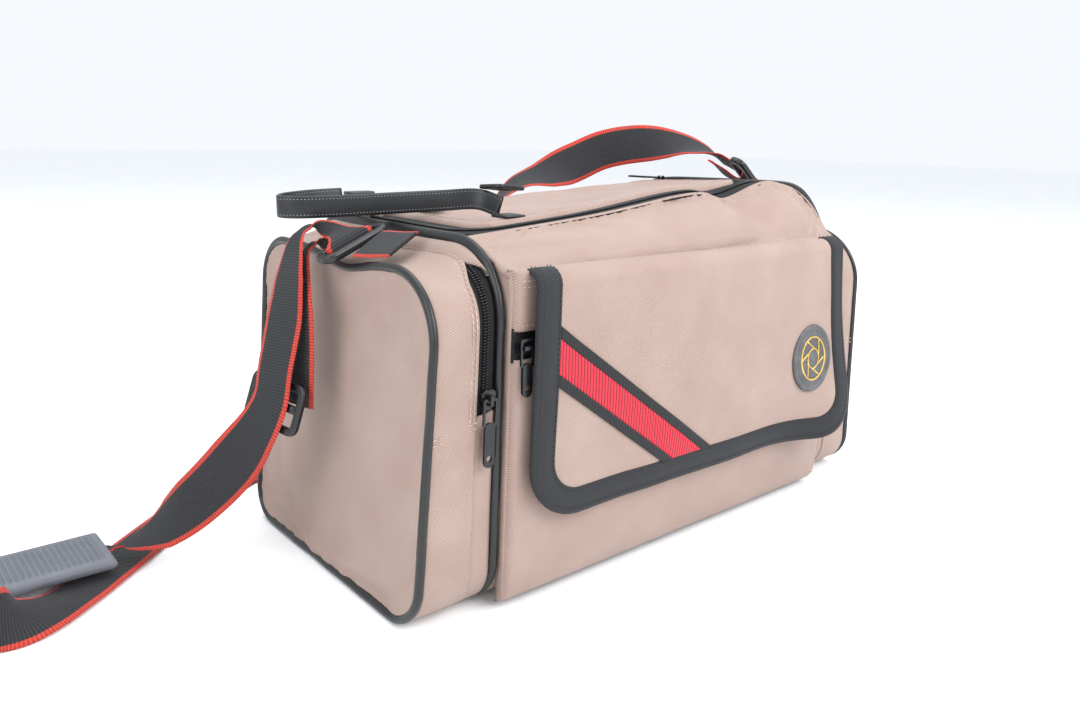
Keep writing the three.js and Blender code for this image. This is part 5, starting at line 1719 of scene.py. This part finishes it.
@dataclass
class HandStrap:
    """The stitched carrying strap on the lid, its buckle, and the spring clip at its end."""

    base: tuple[float, float, float] = (-85.0, 0.0, 193.23)
    width: float = 12.0
    thick: float = 2.4

    def build(self) -> None:
        """Builds the strap and its fittings."""
        stops = relative(self.base, [
            (1, -18, 6.8, 0.2, 0, 1), (-3, -2, 10, 0.25, 0, 1), (-20, 9, 9, 0.2, 0, 1),
            (-50, 16, 8, 0.05, 0, 1), (-80, 22, 7, 0, 0, 1), (-101, 30, 6.5, 0, 0, 1),
            (-106, 38, 6.5, 0, 0, 1), (-101, 46, 7, 0, 0, 1), (-83, 51, 8, 0, 0.1, 1),
            (-61, 53, 8.5, 0, 0.2, 1),
        ])
        route = Route.through(stops, 120)
        strap = swept_piece("hand_strap_leather", route, rounded_section(self.width, self.thick, 0.9, 4))
        settle_in(dress(strap, LEATHER), "hand_strap", ["hand_strap"])
        lines = []
        for side in (-4.2, 4.2):
            for off in (-1.2, 1.2):
                lines.append((route.at(side, off), route.out * math.copysign(1, off)))
        settle_in(STRAP_STITCH.lay("hand_strap_stitches", lines), "hand_strap")
        x, y, z = self.base
        place = placement((x + 7, y - 12, z + 17), (-0.9, -0.2, 0.1), (0.1, 0.1, 1))
        buckle = ring_piece("hand_strap_buckle_frame", (24, 18), 3, 2.4, place)
        settle_in(dress(buckle, BUCKLE), "hand_strap", ["hand_strap_buckle"])
        body = block_piece("clip_body_cast", (x - 58, y + 45, z + 3.5), (x - 33, y + 61, z + 9.5), 2.2)
        settle_in(dress(body, CLIP_METAL), "hand_strap", ["clip_body"])
        gate = block_piece("clip_gate_lever", (x - 58, y + 49, z + 9.8), (x - 41, y + 57, z + 12.3), 1.0)
        settle_in(dress(gate, CLIP_METAL), "clip_gate", ["clip_gate"])
        place = placement((x - 23, y + 53, z + 7), (0.1, 1, 0), (0.2, 0, 1))
        ring = ring_piece("clip_ring_loop", (20, 15), 2.5, 2.4, place)
        settle_in(dress(ring, CLIP_METAL), "clip_ring", ["clip_ring"])
        for name, low, high in (
            ("clip_ring_tab", (x - 12.5, y + 38, z + 2), (x + 3, y + 52, z + 4)),
            ("hand_strap_front_tab", (x - 7, y - 34, z + 1.4), (x + 7, y - 20, z + 3.4)),
        ):
            tab = block_piece(name + "_loop", low, high, 0.9)
            settle_in(dress(tab, LEATHER), "lid", [name])


@dataclass
class ShoulderStrap:
    """The shoulder strap, its sliding pad, tri-glide, rings and sewn tabs."""

    half: float = 15.0
    thick: float = 1.5
    left_top: np.ndarray = field(default_factory=lambda: BAG.point(-191, 0, 190))
    right_top: np.ndarray = field(default_factory=lambda: BAG.point(145.5, 0, 190))

    def ring_places(self) -> dict[str, tuple[np.ndarray, tuple[float, ...], tuple[float, ...]]]:
        """Centre, long direction and normal of each ring."""
        return {
            "left": (self.left_top + [4.3, -5.7, 11.4], (-0.92, -0.1, -0.37), (-0.37, 0, 0.93)),
            "right": (self.right_top + [20, -6.3, 4.5], (0.77, -0.04, -0.64), (0.61, -0.26, 0.75)),
        }

    def turn_about(self, side: str) -> list[list[float]]:
        """Stops where the webbing turns about a ring's back bar."""
        centre, long, normal = self.ring_places()[side]
        across = unit(np.array(long, float))
        up = np.array(normal, float)
        up = unit(up - across * up.dot(across))
        back = np.cross(up, across)
        back = -back if back[1] < 0 else back
        bar = centre + back * (16 - 5) / 2
        radius = math.hypot(5, 4.4) / 2 + self.thick / 2 + 0.3
        stops = []
        for angle in np.radians([-90, -45, 0, 45, 90]):
            point = bar - back * radius * math.cos(angle) + up * radius * math.sin(angle)
            stops.append([*point, *across])
        return stops

    def stops(self) -> list[list[float]]:
        """Every stop of the webbing, from the tri-glide round to the right ring."""
        left, right = self.left_top, self.right_top
        foot, back_foot, back_top = (-193.5, 0, 0), (0, 93, 0), (0, 93, right[2])
        return [
            *relative(left, [
                [-26.3, 7.5, -74.2, -0.25, 0.96, 0.1], [-22.5, 8, -44.2, -0.12, 1, 0],
                [-17.5, 13, -14.2, 0, 1, 0], [-11.5, 18.5, 2.8, -0.1, 1, 0],
                [-5, 19.5, 8.8, -0.4, 0.9, -0.1], [2.5, 10, 8.2, -0.85, 0.3, -0.35],
            ]),
            *self.turn_about("left"),
            *relative(left, [
                [0.5, 8, 16.6, -0.75, 0.55, -0.3], [-7, 18, 18.4, -0.4, 0.9, -0.1],
                [-14.5, 18.5, 13.3, -0.1, 1, 0], [-19.5, 17.5, -0.2, 0, 1, 0],
                [-27, 14, -30.2, -0.19, 0.98, 0], [-34.5, 11, -54.2, -0.22, 0.97, 0],
                [-39, 9.5, -71.2, -0.25, 0.96, 0.1],
            ]),
            *relative(foot, [
                [-30, 13.5, 83, -0.38, 0.9, 0.15], [-40.5, 26, 62, -0.4, 0.6, 0.7],
                [-54.5, 42, 41, -0.1, 0.5, 0.85], [-68.5, 58, 24, 0.1, 0.9, 0.4],
                [-81.5, 72, 13.2, 0.05, 1, 0.05], [-86.5, 76.9, 10.6, 0, 1, 0],
                [-91, 77, 10.5, 0, 1, 0], [-106.5, 77, 10.5, 0, 1, 0],
                [-147.5, 77, 10.5, 0, 1, 0], [-188.5, 77, 10.5, 0, 1, 0],
                [-205.5, 77, 10.5, 0, 1, 0], [-209, 77, 10.6, 0, 1, 0.02],
                [-215, 74.6, 12, 0, 0.95, 0.25], [-222.5, 68, 16, 0.2, 0.4, 0.85],
                [-227.5, 51, 17, 0.1, 0.1, 1], [-221.5, 30, 17, 0, 0, 1],
                [-202.5, 17, 17, 0, 0, 1], [-176.5, 16, 17, 0, 0.05, 1],
                [-154.5, 23, 15, -0.1, 0.2, 0.95], [-137.5, 33, 7.5, -0.4, 0.65, 0.32],
                [-118.5, 48, 2.8, -0.6, 0.75, 0.03], [-96.5, 67, 2.2, -0.62, 0.78, 0],
                [-68.5, 93, 2, -0.65, 0.75, 0],
            ]),
            *relative(back_foot, [
                [-225, 31, 2, -0.62, 0.78, 0], [-180, 61, 2, -0.4, 0.9, 0],
                [-128, 75, 2.4, -0.05, 1, 0], [-88, 68, 5.5, 0.3, 0.93, 0.05],
                [-58, 50, 20, 0.55, 0.8, 0.1], [-40, 34, 52, 0.8, 0.55, 0.05],
                [-27, 23, 98, 0.92, 0.38, 0], [-14, 16, 146, 0.92, 0.38, 0],
            ]),
            *relative(back_top, [
                [2, 12, -24.5, 0.7, 0.7, 0], [24, 9, -4.5, 0.2, 0.95, 0.1],
                [52, 7, 2.5, -0.1, 0.8, 0.5], [80, 6, 11.5, -0.15, 0.3, 0.95],
                [108, 2, 21.5, -0.1, 0.15, 1],
            ]),
            *relative(right, [
                [-9.5, 80, 26.5, 0.1, 0.25, 0.95], [5.5, 56, 26.5, 0.6, 0.3, 0.6],
                [12.5, 32, 22.5, 0.9, 0.2, 0.1], [18, 16, 16.5, 0.85, 0, -0.5],
                [22, 6, 11.1, 0.77, -0.04, -0.64],
            ]),
            *self.turn_about("right")[::-1],
            *relative(right, [[16.3, 9.5, 6, 0.77, 0, -0.6], [11, 22, 15, 0.85, 0.1, -0.3]]),
        ]

    def build(self) -> None:
        """Builds the strap and its fittings."""
        route = Route.through(self.stops(), 200)
        half = gathered(route, self.half)
        fine = np.linspace(0, 200, 601)
        steps = np.arange(201)

        route = Route.through(self.stops(), 600)
        strap = webbing_piece("shoulder_strap_webbing", route, np.interp(fine, steps, half), self.thick, STRAP_WEB)
        settle_in(strap, "body", ["shoulder_strap"])
        for name, (centre, long, normal) in self.ring_places().items():
            ring = ring_piece(f"{name}_ring_moulded", (42, 16), 5, 4.4, placement(centre, long, normal))
            settle_in(dress(ring, BUCKLE), f"{name}_ring", [f"{name}_ring"])
        place = placement(self.left_top + [-35.7, 10.3, -72.4], (-0.25, 0.96, 0.1), (-0.92, -0.25, 0.3))
        rim = ring_piece("triglide_rim", (42, 28), 4.5, 3.2, place)
        bar_line = np.array([(x, 0, 0) for x in np.linspace(-18, 18, 5)])
        bar_route = Route(moved(bar_line, place), np.tile(place[:3, 2], (5, 1)), np.tile(place[:3, 1], (5, 1)))
        bar = swept_piece("triglide_bar", bar_route, rounded_section(3.2, 4.4, 1.0))
        glide = dress(join_pieces("strap_triglide_moulded", [rim, bar]), BUCKLE)
        settle_in(glide, "strap_triglide", ["strap_triglide"])
        self.pad()
        self.tabs()

    def pad(self) -> None:
        """The moulded pad: ribbed across, with rounded edges and a window over the webbing."""
        centre = np.array([-341.0, 77.0, 10.5])
        x = np.linspace(-55, 55, 331)
        y = ends_dense(-21, 21, 27, 0.7)
        shape = ease(55 - np.abs(x), 3.0)[:, None] * ease(21 - np.abs(y), 3.0)[None, :]
        within_y = smooth_step(2, 5, 21 - np.abs(y))[None, :]
        within_x = smooth_step(3, 6, 55 - np.abs(x))[:, None]
        ribs = 0.62 * np.sin(2 * math.pi * x / 3.0)[:, None] * within_y * within_x
        top = 0.2 + 3.4 * shape + ribs
        past_x = smooth_step(11, 12, np.abs(x + 22))[:, None]
        past_y = smooth_step(8.5, 9.5, np.abs(y))[None, :]
        window = 1 - (1 - past_x) * (1 - past_y)
        top = np.minimum(top, 0.95 + 4.0 * window)
        upper = np.stack(np.broadcast_arrays(x[:, None], y[None, :], top), axis=-1)
        lower = upper * np.array([1, 1, -1])
        rows, columns = top.shape
        count = rows * columns
        faces = grid_faces(rows, columns) + [tuple(v + count for v in reversed(f)) for f in grid_faces(rows, columns)]
        edge = [j for j in range(columns)] + [i * columns + columns - 1 for i in range(1, rows)]
        edge += [(rows - 1) * columns + j for j in range(columns - 2, -1, -1)]
        edge += [i * columns for i in range(rows - 2, 0, -1)]
        for a, b in zip(edge, edge[1:] + edge[:1]):
            faces.append((a, b, b + count, a + count))
        points = np.concatenate([upper.reshape(-1, 3), lower.reshape(-1, 3)]) + centre
        pad = dress(mesh_piece("shoulder_pad_moulded", points, faces), PAD_RUBBER)
        settle_in(pad, "shoulder_pad", ["shoulder_pad"])

    def tabs(self) -> None:
        """The webbing loops sewn to the top that hold the rings."""
        for side, corner, points in (
            ("left", self.left_top, [[15, -39, 13.8], [11, -28, 12.8], [7, -18, 12.4]]),
            ("right", self.right_top, [[16.5, -36, -7.5], [16.5, -28, -5.5], [16.5, -20.5, -2]]),
        ):
            _, long, _ = self.ring_places()[side]
            route = Route.through([[*p, *long] for p in relative(corner, points)], 24)
            tab = webbing_piece(f"{side}_anchor_tab_webbing", route, np.full(25, 14.0), 1.6, STRAP_WEB)
            settle_in(tab, "body", [f"{side}_anchor_tab"])


# ------------------------------------------------------------------ studio
@dataclass
class Studio:
    """A pale floor, soft lights and the camera."""

    camera_at: tuple[float, float, float] = (-0.3905, -0.4138, 0.2423)
    right: tuple[float, float, float] = (0.76291, -0.64613, 0.02185)
    up: tuple[float, float, float] = (0.14915, 0.20880, 0.96652)
    lens: float = 28.87

    def build(self) -> None:
        """Builds the studio."""
        self.floor()
        self.lights()
        self.camera()

    def floor(self) -> None:
        """A broad plain floor."""
        mesh = bpy.data.meshes.new("studio_floor")
        reach = 8.0
        corners = [(-reach, -reach, 0), (reach, -reach, 0), (reach, reach, 0), (-reach, reach, 0)]
        mesh.from_pydata(corners, [], [(0, 1, 2, 3)])
        floor = bpy.data.objects.new("studio_floor", mesh)
        bpy.context.scene.collection.objects.link(floor)
        dress(floor, FLOOR)

    def area(
        self, name: str, at: Sequence[float], target: Sequence[float], size: tuple[float, float], power: float
    ) -> None:
        """A soft rectangular light."""
        data = bpy.data.lights.new(name, "AREA")
        data.shape = "RECTANGLE"
        data.size, data.size_y = size
        data.energy = power
        light = bpy.data.objects.new(name, data)
        bpy.context.scene.collection.objects.link(light)
        light.location = at
        light.rotation_euler = (Vector(target) - Vector(at)).to_track_quat("-Z", "Y").to_euler()

    def lights(self) -> None:
        """Key from above the front, fill from the left and a near-white surround."""
        self.area("key", (0.35, -1.3, 1.15), (0, 0, 0.1), (1.4, 1.0), 27)
        self.area("top", (0.1, 0.3, 1.7), (0, 0, 0.1), (1.8, 1.6), 19)
        self.area("fill", (-1.6, -0.2, 0.9), (-0.1, 0, 0.1), (1.2, 1.0), 12)
        world = bpy.data.worlds.new("surround")
        bpy.context.scene.world = world
        world.use_nodes = True
        back = world.node_tree.nodes["Background"]
        back.inputs["Color"].default_value = linear("#f6fafe")
        back.inputs["Strength"].default_value = 1.0
        bpy.context.scene.view_settings.view_transform = "Standard"

    def camera(self) -> None:
        """The camera."""
        data = bpy.data.cameras.new("camera")
        data.lens = self.lens
        data.sensor_width = 36
        data.clip_start = 0.01
        data.dof.use_dof = False
        camera = bpy.data.objects.new("camera", data)
        bpy.context.scene.collection.objects.link(camera)
        right, up = Vector(self.right).normalized(), Vector(self.up).normalized()
        back = right.cross(up).normalized()
        up = back.cross(right)
        turn = Matrix((right, up, back)).transposed().to_4x4()
        camera.matrix_world = Matrix.Translation(self.camera_at) @ turn
        bpy.context.scene.camera = camera


def main() -> None:
    """Builds the bag's looks and the studio."""
    for part in (
        MainBody(),
        MainZip(),
        Lid(),
        EndPocket(-1, "left"),
        EndPocket(1, "right"),
        FrontPocket(),
        Flap(),
        HandStrap(),
        ShoulderStrap(),
        Studio(),
    ):
        part.build()
        LOG.info("%s built", type(part).__name__)


if __name__ == "__main__":
    logging.basicConfig(level=logging.INFO)
    main()
